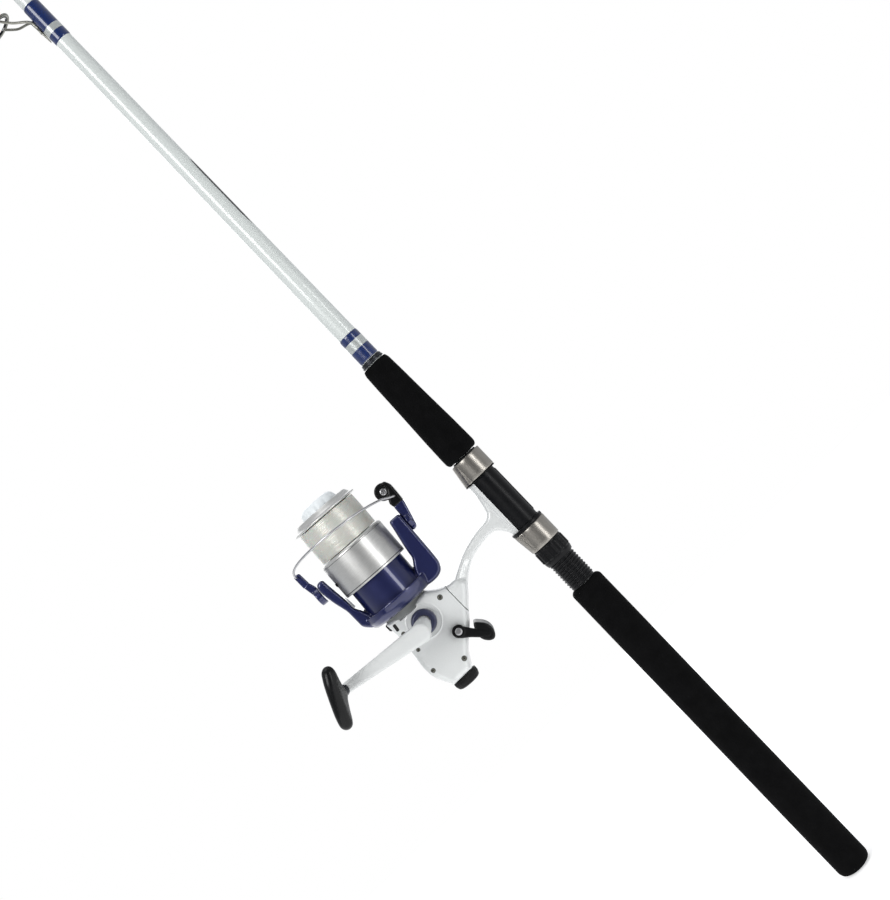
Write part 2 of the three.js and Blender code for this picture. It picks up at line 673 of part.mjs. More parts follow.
// The blind holes that hold the wire's two ends.
function wireRoom() {
  const isEnd = (i) => i === 0 || i === BAIL_WIRE.length - 1;
  const longer = BAIL_WIRE.map(([x, y, z], i) => [x, isEnd(i) ? y + 0.6 : y, z]);
  return bar(longer, 1.3, 40, 2);
}

function makeLineRoller() {
  return turned([
    [1.9, -2.4], [4.8, -2.4], [4.8, -1.4], [3.9, -0.6], [3.9, 0.6], [4.8, 1.4], [4.8, 2.4], [1.9, 2.4],
  ], 20).rotateX(90 * DEG).translate(ROLLER_U, 2.3, ROLLER_W);
}

function makeRollerScrew() {
  const screw = join(tubeY(3, 0, -4.4, -3.5, 16), tubeY(1.3, 0, -3.6, 7.6, 12));
  return screw.translate(ROLLER_U, 0, ROLLER_W);
}

function makeRotorNut() {
  const hex = tube(8.6, 0, 33.8, 38, 6);
  return cut(hex, tube(6, 0, 30, 40, 24));
}

// ---- spool ----
function makeSpool() {
  return turned([
    [SPOOL_R, 52.6], [SPOOL_R, 83.2], [28.9, 84.4], [20.3, 84.4], [20.3, 114.2], [30.4, 115], [30.4, 116],
    [26.8, 117], [24.6, 121], [17.9, 121], [17.9, 106], [SHAFT_R + GAP, 106], [SHAFT_R + GAP, 60], [8, 60],
    [8, 100], [16.5, 100], [16.5, 81.5], [28.6, 81.5], [28.6, 52.6],
  ], 28);
}

function makeLine() {
  return turned([
    [20.6, 84.7], [LINE_R - 0.3, 84.7], [LINE_R, 86], [LINE_R, 112.6], [LINE_R - 0.3, 113.9], [20.6, 113.9],
  ], 28);
}

function makeLineClip() {
  const reach = SPOOL_R + 0.25;
  return box([-reach - 0.9, -reach], [-1.8, 1.8], [64.4, 68]).rotateZ(19.5 * DEG);
}

function makeDragKnob() {
  return turned([
    [0, 123], [SHAFT_R + GAP, 123], [SHAFT_R + GAP, 111], [17.3, 111], [17.3, 121.4], [16.9, 123],
    [15.6, 126.2], [13.6, 128], [11, 128.6], [0, 128.8],
  ], 24);
}

function makeDragWasher(low, high) {
  return tube(17.2, SHAFT_R + GAP, low, high);
}

// ---- crank ----
const ARM_LEAN = 8; // the arm's outer end stands further out than its elbow
const ELBOW_Y = -50;
const KNOB_TILT = 16 * DEG;
const KNOB_TURN = 20.5 * DEG; // where the free knob rests on its spindle

function makeCrankArm() {
  const outline = [];
  const arc = (x, r, from, to, count) => {
    for (let i = 0; i <= count; i += 1) {
      const angle = (from + ((to - from) * i) / count) * DEG;
      outline.push([x + r * Math.cos(angle), r * Math.sin(angle)]);
    }
  };
  arc(0, 8, -100, 97, 8);
  arc(-ARM_REACH, 4.3, 93, 267, 5);
  const arm = slab(outline, ELBOW_Y - 5.2, ELBOW_Y + 5.2, 3.4, 2);
  const position = arm.attributes.position;
  for (let i = 0; i < position.count; i += 1) {
    const share = Math.min(Math.max(-position.getX(i) / ARM_REACH, 0), 1);
    const flatter = 1 - 0.25 * share;
    position.setY(i, ELBOW_Y + (position.getY(i) - ELBOW_Y) * flatter - ARM_LEAN * share);
  }
  const shankOutline = [[0, 23], [5, 23], [5, 29.2], [6.6, 36], [7.6, 46], [7, 49], [0, 49]];
  const shank = turned(shankOutline, 24).rotateX(90 * DEG);
  const spindleHole = onSpindle(tube(2.2, 0, -12, 12, 12).rotateX(90 * DEG));
  return cut(join(arm, shank), spindleHole);
}

// Moves a piece drawn about -Y at the origin to the knob's spindle on the arm's end.
function onSpindle(geometry) {
  return geometry.rotateZ(-KNOB_TILT).translate(-ARM_REACH, ELBOW_Y - ARM_LEAN, 0);
}

function makeKnobSpindle() {
  return onSpindle(turned([
    [0, -4.6], [1.9, -4.6], [1.9, 4.6], [4.6, 4.6], [4, 9.2], [1.9, 9.2], [1.9, 25], [0, 25],
  ], 18).rotateX(90 * DEG));
}

function makeKnob() {
  const half = [
    [0, 4.6], [-2.6, 7], [-5, 13], [-7.6, 21.4], [-12, 25.6], [-17, 23.6], [-20.6, 14.6], [-21.4, 6],
  ];
  const mirrored = half.map(([x, z]) => [x, -z]).reverse();
  const outline = smooth([...half, ...mirrored], 32);
  const paddle = slab(outline, -5.6, 5.6, 4.4, 2, 0, 2.6)
    .rotateZ(90 * DEG)
    .translate(0, -10.3, 0);
  return cut(paddle, tubeY(2.2, 0, -26, 0, 12));
}

// ---- small outside pieces of the body ----
function makeFeederLever() {
  const boss = tubeY(5.4, 0, -23.6, -19.4, 24);
  const arm = slab([
    [-1, 4.4], [16, 1.6], [22, 1.4], [25.5, 0], [25.5, -4], [22, -5], [12, -4.6], [-1, -4.4],
  ], -23.4, -20.6, 0.9, 1);
  const thumb = slab([
    ...smooth([[10.8, 8.4], [17, 10.4], [23, 9.2], [27, 4], [27.2, -4.4]], 9, false),
    ...smooth([[23.6, -4.6], [23.4, 1], [20.6, 5], [16, 6.6], [11.4, 5.4]], 8, false),
  ], -23.2, 4, 0.7, 1);
  const hole = tubeY(1.7, 0, -30, 10, 12);
  return cut(join(boss, arm, thumb), hole);
}

function makeLeverScrew() {
  return join(tubeY(3.1, 0, -25, -23.9, 18), tubeY(1.4, 0, -24, -14.6, 12));
}

function makeTensionKnob() {
  return turned([
    [0, -62.8], [7.6, -62.8], [10, -61.4], [11.2, -58.6], [11.4, -54.6], [4, -54.6], [4, -47], [0, -47],
  ]);
}

function makeAntiReverseSwitch() {
  return slab([[-138.4, 393.6], [-137.2, 392.6], [-137.6, 399.6], [-138.8, 399.2]], -3, 3, 0.3, 1);
}

// ================= assembly =================
function buildRod() {
  piece("butt_cap", makeButtCap(), "rubber", fishingRod);
  piece("rear_grip", makeRearGrip(), "foam", fishingRod);
  piece("butt_blank", makeButtBlank(), "blank", fishingRod);
  piece("reel_seat_tube", makeReelSeatTube(), "seat", fishingRod);
  piece("locking_nut", makeLockingNut(), "seat", fishingRod);
  makeHood(fishingRod, "moving_hood", ...MOVING_HOOD_Z, THREAD_R + 0.25);
  makeHood(fishingRod, "fixed_hood", FIXED_HOOD_Z[1], FIXED_HOOD_Z[0], SEAT_R + GAP);
  piece("fore_grip", makeForeGrip(), "foam", fishingRod);
  piece("winding_check", makeWindingCheck(), "check", fishingRod);
  piece("handle_wrap", makeWrap(562.4, 588, WRAP_RISE), "thread", fishingRod);
  piece("stripper_wrap", makeWrap(916, 954, WRAP_RISE), "thread", fishingRod);
  piece("tip_blank", makeTipBlank(), "blank", fishingRod);
  piece("tip_top", makeTipTop(), "frame", fishingRod);
  GUIDES.forEach((guide) => piece(guide[0], makeGuide(guide), "frame", fishingRod));
  piece("stripper_insert", makeStripperInsert(), "ceramic", fishingRod);
}

function buildReel() {
  const root = fishingRod;
  piece("gear_housing", makeHousing(), "pearl", root);
  piece("side_plate", makeSidePlate(), "pearl", root);
  PLATE_SCREWS.forEach(([x, z, r], i) => {
    piece("plate_screw_" + (i + 1), makePlateScrew(x, z, r), "zinc", root);
  });
  piece("anti_reverse_switch", makeAntiReverseSwitch(), "black", root);

  const feeder = new THREE.Group();
  feeder.position.set(LEVER_X, 0, LEVER_Z);
  feeder.rotation.y = LEVER_TURN;
  root.add(feeder);
  piece("feeder_lever", makeFeederLever(), "black", feeder);
  piece("lever_screw", makeLeverScrew(), "steel", feeder);

  const reel = new THREE.Group();
  reel.position.set(REEL_AXIS_X, 0, CRANK_Z);
  reel.rotation.y = REEL_TILT;
  root.add(reel);
  piece("tension_knob", makeTensionKnob(), "black", reel);
  piece("main_bearing", tube(11, 6, 20.8, 24.8, 28), "steel", reel);
  piece("pinion", makePinion(), "brass", reel);
  piece("main_shaft", tube(SHAFT_R, 0, ...SHAFT_W, 16), "steel", reel);
  piece("slider", makeSlider(), "zinc", reel);
  piece("oscillation_gear", makeOscillationGear(), "zinc", reel).position.z = oscillationCentreW();
  piece("rotor", makeRotor(), "navy", reel);
  piece("rotor_nut", makeRotorNut(), "steel", reel);
  piece("bail_arm", makeBailArm(), "navy", reel);
  piece("bail_lever", makeBailLever(), "navy", reel);
  piece("bail_screw_roller_side", makePivotScrew(1), "steel", reel);
  piece("bail_screw_far_side", makePivotScrew(-1), "steel", reel);
  piece("bail_wire", bar(BAIL_WIRE, 0.8, 36, 3), "steel", reel);
  piece("line_roller", makeLineRoller(), "steel", reel);
  piece("roller_screw", makeRollerScrew(), "steel", reel);
  piece("spool", makeSpool(), "silver", reel);
  piece("wound_line", makeLine(), "line", reel);
  piece("line_clip", makeLineClip(), "black", reel);
  piece("drag_washer_felt", makeDragWasher(106.3, 107.9), "felt", reel);
  piece("drag_washer_steel", makeDragWasher(108.2, 109.2), "steel", reel);
  piece("drag_knob", makeDragKnob(), "clear", reel);

  const crankCentre = new THREE.Group();
  crankCentre.position.set(HYPOID_OFFSET, 0, 0);
  reel.add(crankCentre);
  piece("drive_gear", makeDriveGear(), "zinc", crankCentre);
  piece("crank_bearing_near", tubeY(8, 3.5, -16.3, -12.2, 24), "steel", crankCentre);
  piece("crank_bearing_far", tubeY(8, 3.5, 11.8, 16, 24), "steel", crankCentre);
  piece("crank_collar", tubeY(10.5, 5.3, -28.8, CRANK_BOSS_Y - GAP, 36), "navy", crankCentre);
  piece("crank_end_cap", tubeY(7, 0, BODY_HALF + 0.5, BODY_HALF + 3.5, 28), "navy", crankCentre);

  const crank = new THREE.Group();
  crank.rotation.y = ARM_SWING - REEL_TILT;
  crankCentre.add(crank);
  piece("crank_arm", makeCrankArm(), "pearl", crank);
  piece("knob_spindle", makeKnobSpindle(), "check", crank);
  const knob = new THREE.Group();
  knob.position.set(-ARM_REACH, ELBOW_Y - ARM_LEAN, 0);
  knob.rotation.z = -KNOB_TILT;
  crank.add(knob);
  piece("crank_knob", makeKnob().rotateY(KNOB_TURN), "black", knob);
}

buildRod();
buildReel();

export default fishingRod;
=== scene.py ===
# The looks of a spinning rod and reel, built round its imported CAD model. Lengths below are in millimetres.
import math

import bmesh
import bpy
import numpy as np
from mathutils import Matrix, Vector


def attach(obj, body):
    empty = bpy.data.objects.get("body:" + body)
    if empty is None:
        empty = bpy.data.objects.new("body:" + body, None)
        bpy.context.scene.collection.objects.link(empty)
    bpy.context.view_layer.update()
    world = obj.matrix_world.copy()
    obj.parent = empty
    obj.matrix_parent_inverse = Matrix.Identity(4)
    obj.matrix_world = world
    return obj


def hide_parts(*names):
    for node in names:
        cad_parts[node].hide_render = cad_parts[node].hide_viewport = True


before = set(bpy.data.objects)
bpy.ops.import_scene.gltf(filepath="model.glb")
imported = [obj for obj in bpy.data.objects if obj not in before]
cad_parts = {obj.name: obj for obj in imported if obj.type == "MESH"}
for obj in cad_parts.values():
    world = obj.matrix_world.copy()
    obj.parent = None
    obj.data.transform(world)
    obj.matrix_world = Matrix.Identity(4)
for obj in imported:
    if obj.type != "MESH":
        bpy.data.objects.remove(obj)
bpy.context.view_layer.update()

MM = 0.001
TAU = 2 * math.pi
METRE = 1000
BAND_PERIOD = TAU / 20  # of Blender's band texture at scale 1
SHARP_EDGE = math.radians(38)

# Driving sizes, the same as the CAD model's
BLANK_ROOT = (560, 8.6)
BLANK_TIP = (2438, 1.25)
HOOD_R = 14
HOOD_LEAN = 2.8
THREAD_PITCH = 2.7
REEL_TILT = math.radians(2.86)
ARM_SWING = math.radians(5.2)
KNOB_TILT = math.radians(16)
HYPOID_OFFSET = 5.6
ARM_REACH = 76
ARM_ROOT_Y = -50
ARM_TIP_Y = -58
ELBOW_LEAN = (-5.5, -3.5)
BAIL_PIVOT_W = 68
ROLLER = (47.2, 2.3, 98)

# Frames: the rod's own, the reel's (w runs along the rotor axis), the crank axis, the arm and the knob
ROD = Matrix.Identity(4)
REEL = Matrix.Translation((-118, 0, 382.5)) @ Matrix.Rotation(REEL_TILT, 4, "Y")
CRANK_AXIS = REEL @ Matrix.Translation((HYPOID_OFFSET, 0, 0))
CRANK = CRANK_AXIS @ Matrix.Rotation(ARM_SWING - REEL_TILT, 4, "Y")
KNOB = CRANK @ Matrix.Translation((-ARM_REACH, ARM_TIP_Y, 0)) @ Matrix.Rotation(-KNOB_TILT, 4, "Z")
ABOUT_Y = Matrix.Rotation(math.radians(90), 4, "X")  # turns a piece drawn about Z to stand along -Y


# ---------------- outlines ----------------
def smooth(points, count, closed=False):
    """Points evenly shared out along a centripetal Catmull-Rom curve through the given ones."""
    pts = [Vector(p) for p in points]
    if closed:
        pts = [pts[-1]] + pts + [pts[0], pts[1]]
    else:
        pts = [2 * pts[0] - pts[1]] + pts + [2 * pts[-1] - pts[-2]]
    spans = len(pts) - 3
    run = []
    for i in range(count if closed else count + 1):
        place = min(i * spans / count, spans - 1e-6)
        k = int(place)
        a, b, c, d = pts[k:k + 4]
        t1 = max((b - a).length, 1e-6) ** 0.5
        t2 = t1 + max((c - b).length, 1e-6) ** 0.5
        t3 = t2 + max((d - c).length, 1e-6) ** 0.5
        t = t1 + (t2 - t1) * (place - k)
        ab = a.lerp(b, t / t1)
        bc = b.lerp(c, (t - t1) / (t2 - t1))
        cd = c.lerp(d, (t - t2) / (t3 - t2))
        abc = ab.lerp(bc, t / t2)
        bcd = bc.lerp(cd, (t - t1) / (t3 - t1))
        run.append(tuple(abc.lerp(bcd, (t - t1) / (t2 - t1))))
    return run


def eased(points, radius, steps=4, closed=False):
    """The outline with each inner corner rounded to about the given radius."""
    count = len(points)
    run = []
    for i, point in enumerate(points):
        if not closed and i in (0, count - 1):
            run.append(tuple(point))
            continue
        here = Vector(point)
        before = Vector(points[i - 1]) - here
        after = Vector(points[(i + 1) % count]) - here
        reach = min(radius, before.length * 0.45, after.length * 0.45)
        start = here + before.normalized() * reach
        end = here + after.normalized() * reach
        for k in range(steps + 1):
            t = k / steps
            run.append(tuple(start.lerp(here, t).lerp(here.lerp(end, t), t)))
    return run


def arc(x, r, start, end, count):
    """Points on a circle about (x, 0), with its angles in degrees."""
    angles = [math.radians(a) for a in np.linspace(start, end, count)]
    return [(x + r * math.cos(a), r * math.sin(a)) for a in angles]


def filled(points, step):
    """The closed outline with points added along each side longer than two steps."""
    run = []
    for point, after in zip(points, points[1:] + points[:1]):
        here, there = Vector(point), Vector(after)
        count = max(int((there - here).length / step), 1)
        run += [tuple(here.lerp(there, k / count)) for k in range(count)]
    return run


def ramp_up_down(place, low, high, rise, fall):
    """A number that rises from 0 to 1 over the rise after low, and falls to 0 over the fall before high."""
    return min(max((place - low) / rise, 0), 1) * min(max((high - place) / fall, 0), 1)


# ---------------- meshes ----------------
def mesh_object(name, verts, faces, place=ROD):
    mesh = bpy.data.meshes.new(name)
    mesh.from_pydata([tuple((place @ Vector(v)) * MM) for v in verts], [], faces)
    mesh.update()
    obj = bpy.data.objects.new(name, mesh)
    bpy.context.scene.collection.objects.link(obj)
    work = bmesh.new()
    work.from_mesh(mesh)
    bmesh.ops.remove_doubles(work, verts=work.verts, dist=1e-7)
    bmesh.ops.recalc_face_normals(work, faces=work.faces)
    work.to_mesh(mesh)
    work.free()
    return obj


def rings_object(name, rings, place=ROD, capped=True, looped=False):
    """A skin over rings of equally many points, with its ends closed or joined to each other."""
    sides = len(rings[0])
    verts = [v for ring in rings for v in ring]
    count = len(rings)
    faces = []
    for i in range(count if looped else count - 1):
        low = i * sides
        high = ((i + 1) % count) * sides
        for k in range(sides):
            n = (k + 1) % sides
            faces.append((low + k, low + n, high + n, high + k))
    if capped and not looped:
        faces.append(tuple(range(sides)))
        faces.append(tuple(range((count - 1) * sides, count * sides)))
    return mesh_object(name, verts, faces, place)


def turned(name, outline, place=ROD, segments=96, closed=False, ripple=None):
    """A lathe piece from [radius, height] points; ripple(angle, height) adds to the radius."""
    rings = []
    for r, z in outline:
        ring = []
        for k in range(segments):
            angle = k * TAU / segments
            reach = max(r, 1e-5) + (ripple(angle, z) if ripple and r > 1 else 0)
            ring.append((reach * math.cos(angle), reach * math.sin(angle), z))
        rings.append(ring)
    return rings_object(name, rings, place, capped=False, looped=closed)


def slab(name, outline, low, high, edge=0.0, inset=None, steps=6, place=ROD):
    """An [x, z] outline given a thickness along Y, with rounded edges."""
    inset = edge if inset is None else inset
    count = len(outline)
    area = sum(a[0] * b[1] - b[0] * a[1] for a, b in zip(outline, outline[1:] + outline[:1]))
    turn = 1 if area > 0 else -1
    normals = []
    for i in range(count):
        before = Vector(outline[i]) - Vector(outline[i - 1])
        after = Vector(outline[(i + 1) % count]) - Vector(outline[i])
        along = before.normalized() + after.normalized()
        normals.append(Vector((along.y, -along.x)).normalized() * turn)

    def ring(y, inward):
        return [
            (p[0] - n.x * inward, y, p[1] - n.y * inward) for p, n in zip(outline, normals)
        ]

    sweep = [i / steps * math.pi / 2 for i in range(steps + 1)] if edge else [math.pi / 2]
    rings = [ring(low + edge * (1 - math.cos(a)), inset * (1 - math.sin(a))) for a in sweep]
    rings += [ring(high - edge * (1 - math.cos(a)), inset * (1 - math.sin(a))) for a in sweep[::-1]]
    return rings_object(name, rings, place)


def bar(name, path, given_radii, steps, sides, place=ROD, flat=1.0):
    """A rod swept along a smooth path, with two or more radii spread along it; flat widens it sideways."""
    points = [Vector(p) for p in smooth(path, steps)]
    shares = np.linspace(0, 1, len(given_radii))
    radii = np.interp(np.linspace(0, 1, len(points)), shares, given_radii)
    rings = []
    side = Vector((0, 1, 0))
    for i, p in enumerate(points):
        along = (points[min(i + 1, len(points) - 1)] - points[max(i - 1, 0)]).normalized()
        side = (side - along * side.dot(along)).normalized()
        across = along.cross(side)
        ring = []
        for k in range(sides):
            angle = k * TAU / sides
            spoke = side * math.cos(angle) * flat + across * math.sin(angle)
            ring.append(tuple(p + float(radii[i]) * spoke))
        rings.append(ring)
    return rings_object(name, rings, place)


def block(name, x, y, z, place=ROD, edge=0.0):
    """A box with rounded upright edges."""
    corners = [(x[0], z[0]), (x[1], z[0]), (x[1], z[1]), (x[0], z[1])]
    if edge:
        corners = eased(corners, edge, 4, closed=True)
    return slab(name, corners, y[0], y[1], edge * 0.6, place=place, steps=3)


def evaluated(obj):
    """Applies the object's modifiers to its mesh."""
    graph = bpy.context.evaluated_depsgraph_get()
    mesh = bpy.data.meshes.new_from_object(obj.evaluated_get(graph))
    obj.modifiers.clear()
    old = obj.data
    obj.data = mesh
    bpy.data.meshes.remove(old)
    mesh.name = obj.name
    return obj


def joined(name, *objects):
    """One mesh object of several, as they are."""
    work = bmesh.new()
    for obj in objects:
        work.from_mesh(obj.data)
        bpy.data.objects.remove(obj)
    mesh = bpy.data.meshes.new(name)
    work.to_mesh(mesh)
    work.free()
    obj = bpy.data.objects.new(name, mesh)
    bpy.context.scene.collection.objects.link(obj)
    return obj


def combine(obj, tool, operation, solver="EXACT"):
    """A boolean with another object, which is used up; a melted form takes the MANIFOLD solver."""
    change = obj.modifiers.new("change", "BOOLEAN")
    change.object = tool
    change.operation = operation
    change.solver = solver
    evaluated(obj)
    bpy.data.objects.remove(tool)
    return obj


def melted(obj, voxel, rounds):
    """Fuses overlapping forms into one skin whose edges and inner corners are softened."""
    fuse = obj.modifiers.new("fuse", "REMESH")
    fuse.mode = "VOXEL"
    fuse.voxel_size = voxel * MM
    soften = obj.modifiers.new("soften", "SMOOTH")
    soften.factor = 0.5
    soften.iterations = rounds
    return evaluated(obj)


def place_piece(obj, body, slot, finish, *nodes):
    """Gives a finished piece its material and body, and hides the CAD nodes it stands for."""
    for face in obj.data.polygons:
        face.use_smooth = True
    obj.data.materials.clear()
    obj.data.materials.append(finish.material)
    split = obj.modifiers.new("split", "EDGE_SPLIT")
    split.split_angle = SHARP_EDGE
    evaluated(obj)
    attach(obj, body)
    if nodes:
        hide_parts(*nodes)
    return obj


# ---------------- materials ----------------
class Finish:
    """A Principled material with its detail built from noise in the object's own coordinates."""

    def __init__(self, name, color, rough, metallic=0.0, **sockets):
        self.material = bpy.data.materials.new(name)
        self.material.use_nodes = True
        tree = self.material.node_tree
        self.nodes = tree.nodes
        self.links = tree.links
        self.shader = self.nodes["Principled BSDF"]
        self.color = (*color, 1.0)
        self.shader.inputs["Base Color"].default_value = self.color
        self.shader.inputs["Roughness"].default_value = rough
        self.shader.inputs["Metallic"].default_value = metallic
        for socket, value in sockets.items():
            self.shader.inputs[socket.replace("_", " ")].default_value = value
        self.rough = rough
        self.where = self.nodes.new("ShaderNodeTexCoord").outputs["Object"]
        self.normal = None

    def stretch(self, scale):
        """The object's own coordinates, scaled along each axis."""
        mapping = self.nodes.new("ShaderNodeMapping")
        mapping.inputs["Scale"].default_value = scale
        self.links.new(self.where, mapping.inputs["Vector"])
        return mapping.outputs["Vector"]

    def noise(self, size, detail=3.0, stretch=(1, 1, 1)):
        """Noise whose features are about size mm across."""
        node = self.nodes.new("ShaderNodeTexNoise")
        node.inputs["Scale"].default_value = METRE / size
        node.inputs["Detail"].default_value = detail
        self.links.new(self.stretch(stretch), node.inputs["Vector"])
        return node.outputs["Fac"]

    def cells(self, size):
        """Specks about size mm across."""
        node = self.nodes.new("ShaderNodeTexVoronoi")
        node.inputs["Scale"].default_value = METRE / size
        self.links.new(self.where, node.inputs["Vector"])
        return node.outputs["Distance"]

    def turns(self, pitch):
        """Fine bands across Z, one each pitch mm, as wound thread or line shows."""
        node = self.nodes.new("ShaderNodeTexWave")
        node.wave_type = "BANDS"
        node.bands_direction = "Z"
        node.inputs["Scale"].default_value = METRE / pitch * BAND_PERIOD
        node.inputs["Distortion"].default_value = 0.3
        node.inputs["Detail"].default_value = 1.0
        self.links.new(self.where, node.inputs["Vector"])
        return node.outputs["Fac"]

    def pattern(self, fac):
        """A texture's output; a plain number stands for noise of that size."""
        return self.noise(fac) if isinstance(fac, (int, float)) else fac

    def tint(self, fac, low, high):
        """Varies the colour between two multiples of itself."""
        fac = self.pattern(fac)
        ramp = self.nodes.new("ShaderNodeValToRGB")
        for end, gain, position in zip(ramp.color_ramp.elements, (low, high), (0.3, 0.7)):
            end.color = (*[min(c * gain, 1) for c in self.color[:3]], 1)
            end.position = position
        self.links.new(fac, ramp.inputs["Fac"])
        self.links.new(ramp.outputs["Color"], self.shader.inputs["Base Color"])
        return self

    def wear(self, fac, spread):
        """Varies the roughness about its own value."""
        fac = self.pattern(fac)
        node = self.nodes.new("ShaderNodeMapRange")
        node.inputs["To Min"].default_value = max(self.rough - spread, 0.02)
        node.inputs["To Max"].default_value = min(self.rough + spread, 1.0)
        self.links.new(fac, node.inputs["Value"])
        self.links.new(node.outputs["Result"], self.shader.inputs["Roughness"])
        return self

    def bump(self, fac, height, strength=1.0):
        """Raises the surface by up to height mm."""
        fac = self.pattern(fac)
        node = self.nodes.new("ShaderNodeBump")
        node.inputs["Distance"].default_value = height * MM
        node.inputs["Strength"].default_value = strength
        self.links.new(fac, node.inputs["Height"])
        if self.normal is not None:
            self.links.new(self.normal, node.inputs["Normal"])
        self.normal = node.outputs["Normal"]
        self.links.new(self.normal, self.shader.inputs["Normal"])
        return self


foam = Finish("foam", (0.0026, 0.0026, 0.0028), 0.9, Specular_IOR_Level=0.07)
foam.tint(9, 0.75, 1.35).bump(foam.cells(0.55), 0.12, 0.5).bump(6, 0.15, 0.4)
rubber = Finish("butt rubber", (0.0035, 0.0035, 0.0037), 0.65, Specular_IOR_Level=0.16)
rubber.tint(5, 0.8, 1.3).bump(0.6, 0.06)
seat_black = Finish("seat plastic", (0.0026, 0.0028, 0.0036), 0.36, Specular_IOR_Level=0.2)
seat_black.wear(7, 0.08).bump(0.5, 0.02, 0.6)
smoke = Finish("smoked metal", (0.36, 0.34, 0.31), 0.33, 1.0)
smoke.tint(smoke.noise(14, 2, (1, 1, 0.1)), 0.88, 1.06).wear(smoke.noise(10, 2), 0.03)
check_grey = Finish("check metal", (0.035, 0.037, 0.042), 0.32, 0.85)
check_grey.tint(3, 0.8, 1.3).wear(1, 0.07)
blank_white = Finish("blank lacquer", (0.64, 0.675, 0.66), 0.3, Coat_Weight=0.6, Coat_Roughness=0.06)
blank_white.tint(35, 0.985, 1.01).bump(blank_white.noise(14, 2, (1, 1, 0.2)), 0.03, 0.5)
thread_blue = Finish("thread blue", (0.0035, 0.016, 0.09), 0.3, Coat_Weight=0.8, Coat_Roughness=0.05)
thread_blue.tint(thread_blue.turns(0.5), 0.75, 1.5).bump(thread_blue.turns(0.5), 0.03, 0.5)
thread_silver = Finish("thread silver", (0.5, 0.53, 0.52), 0.35, 0.35, Coat_Weight=1.0, Coat_Roughness=0.05)
thread_silver.tint(thread_silver.turns(0.5), 0.75, 1.2).bump(thread_silver.turns(0.5), 0.03, 0.5)
guide_metal = Finish("guide frame", (0.27, 0.27, 0.24), 0.34, 1.0)
guide_metal.tint(6, 0.85, 1.15).wear(5, 0.04)
ceramic = Finish("ring ceramic", (0.008, 0.009, 0.01), 0.1)
ceramic.wear(2, 0.04).bump(0.6, 0.004)
pearl = Finish("pearl lacquer", (0.67, 0.685, 0.68), 0.32, 0.08, Coat_Weight=0.5, Coat_Roughness=0.12)
pearl.tint(pearl.cells(0.4), 0.975, 1.02).wear(5, 0.04).bump(pearl.noise(18, 2), 0.04, 0.5)
arm_white = Finish("arm lacquer", (0.64, 0.655, 0.65), 0.36, 0.05, Specular_IOR_Level=0.4)
arm_white.tint(arm_white.cells(0.4), 0.985, 1.015).bump(arm_white.noise(14, 2), 0.03, 0.5)
screw_dark = Finish("dark screw", (0.13, 0.13, 0.11), 0.38, 0.9)
screw_dark.tint(0.8, 0.7, 1.5).wear(0.5, 0.12)
# Painted shade: a near-black finish for thin sheets laid where hollows look dark, round the plate screws and
# beside the switch.
recess_painted_shade = Finish("recess_painted_shade", (0.004, 0.004, 0.0045), 0.7)
recess_painted_shade.tint(1, 0.7, 1.4)
navy = Finish("navy lacquer", (0.0085, 0.013, 0.08), 0.33, 0.45, Coat_Weight=1.0, Coat_Roughness=0.08)
navy.tint(navy.cells(0.4), 0.9, 1.15).wear(navy.noise(9, 2), 0.02).bump(navy.noise(16, 2), 0.02, 0.3)
collar_grey = Finish("collar", (0.03, 0.034, 0.075), 0.3, 0.3, Coat_Weight=0.3)
collar_grey.tint(3, 0.85, 1.2).wear(1.5, 0.06)
black = Finish("black plastic", (0.0026, 0.0028, 0.0032), 0.3, Specular_IOR_Level=0.24)
black.wear(black.noise(9, 2), 0.03).bump(0.7, 0.008, 0.6)
satin_black = Finish("ribbed rubber", (0.0035, 0.0035, 0.0037), 0.5, Specular_IOR_Level=0.2)
satin_black.wear(2, 0.1).bump(0.4, 0.03)
steel = Finish("polished steel", (0.48, 0.48, 0.49), 0.31, 1.0)
steel.tint(5, 0.9, 1.08).wear(4, 0.02)
brass = Finish("machined brass", (0.6, 0.42, 0.16), 0.3, 1.0)
brass.wear(0.8, 0.1).tint(2, 0.85, 1.1)
zinc = Finish("cast zinc", (0.4, 0.41, 0.42), 0.45, 1.0)
zinc.wear(1.5, 0.12).bump(0.5, 0.02)
silver = Finish("turned silver", (0.66, 0.66, 0.645), 0.36, 0.9)
silver.tint(silver.noise(5, 3, (1, 1, 9)), 0.92, 1.06).bump(silver.turns(0.9), 0.004, 0.5)
silver.wear(silver.noise(4, 3, (1, 1, 12)), 0.03)
wound = Finish("wound line", (0.6, 0.6, 0.55), 0.34, 0.3, Subsurface_Weight=0.15, Subsurface_Scale=0.002)
wound.tint(wound.turns(0.95), 0.93, 1.05).bump(wound.turns(0.95), 0.012, 0.5)
wound.bump(wound.noise(9, 2), 0.04, 0.4)
# Its faint bluish emission is a painted glow that brightens the drag knob.
milky_painted_glow = Finish("milky plastic", (0.8, 0.84, 0.86), 0.32, IOR=1.46,
               Emission_Color=(0.86, 0.92, 0.95, 1), Emission_Strength=0.06)
milky_painted_glow.wear(6, 0.03).bump(milky_painted_glow.noise(14, 1), 0.02)
felt = Finish("felt", (0.08, 0.065, 0.05), 0.95, Sheen_Weight=0.4)
felt.tint(0.6, 0.7, 1.4).bump(0.3, 0.1)
pinstripe_ink = Finish("pinstripe", (0.02, 0.02, 0.022), 0.3)
pinstripe_ink.tint(4, 0.8, 1.4)
print_grey = Finish("printed line", (0.05, 0.052, 0.056), 0.35, 0.3)
print_grey.tint(2, 0.8, 1.3)


# ---------------- the rod ----------------
def blank_r(z):
    share = (z - BLANK_ROOT[0]) / (BLANK_TIP[0] - BLANK_ROOT[0])
    return BLANK_ROOT[1] + (BLANK_TIP[1] - BLANK_ROOT[1]) * max(share, 0)


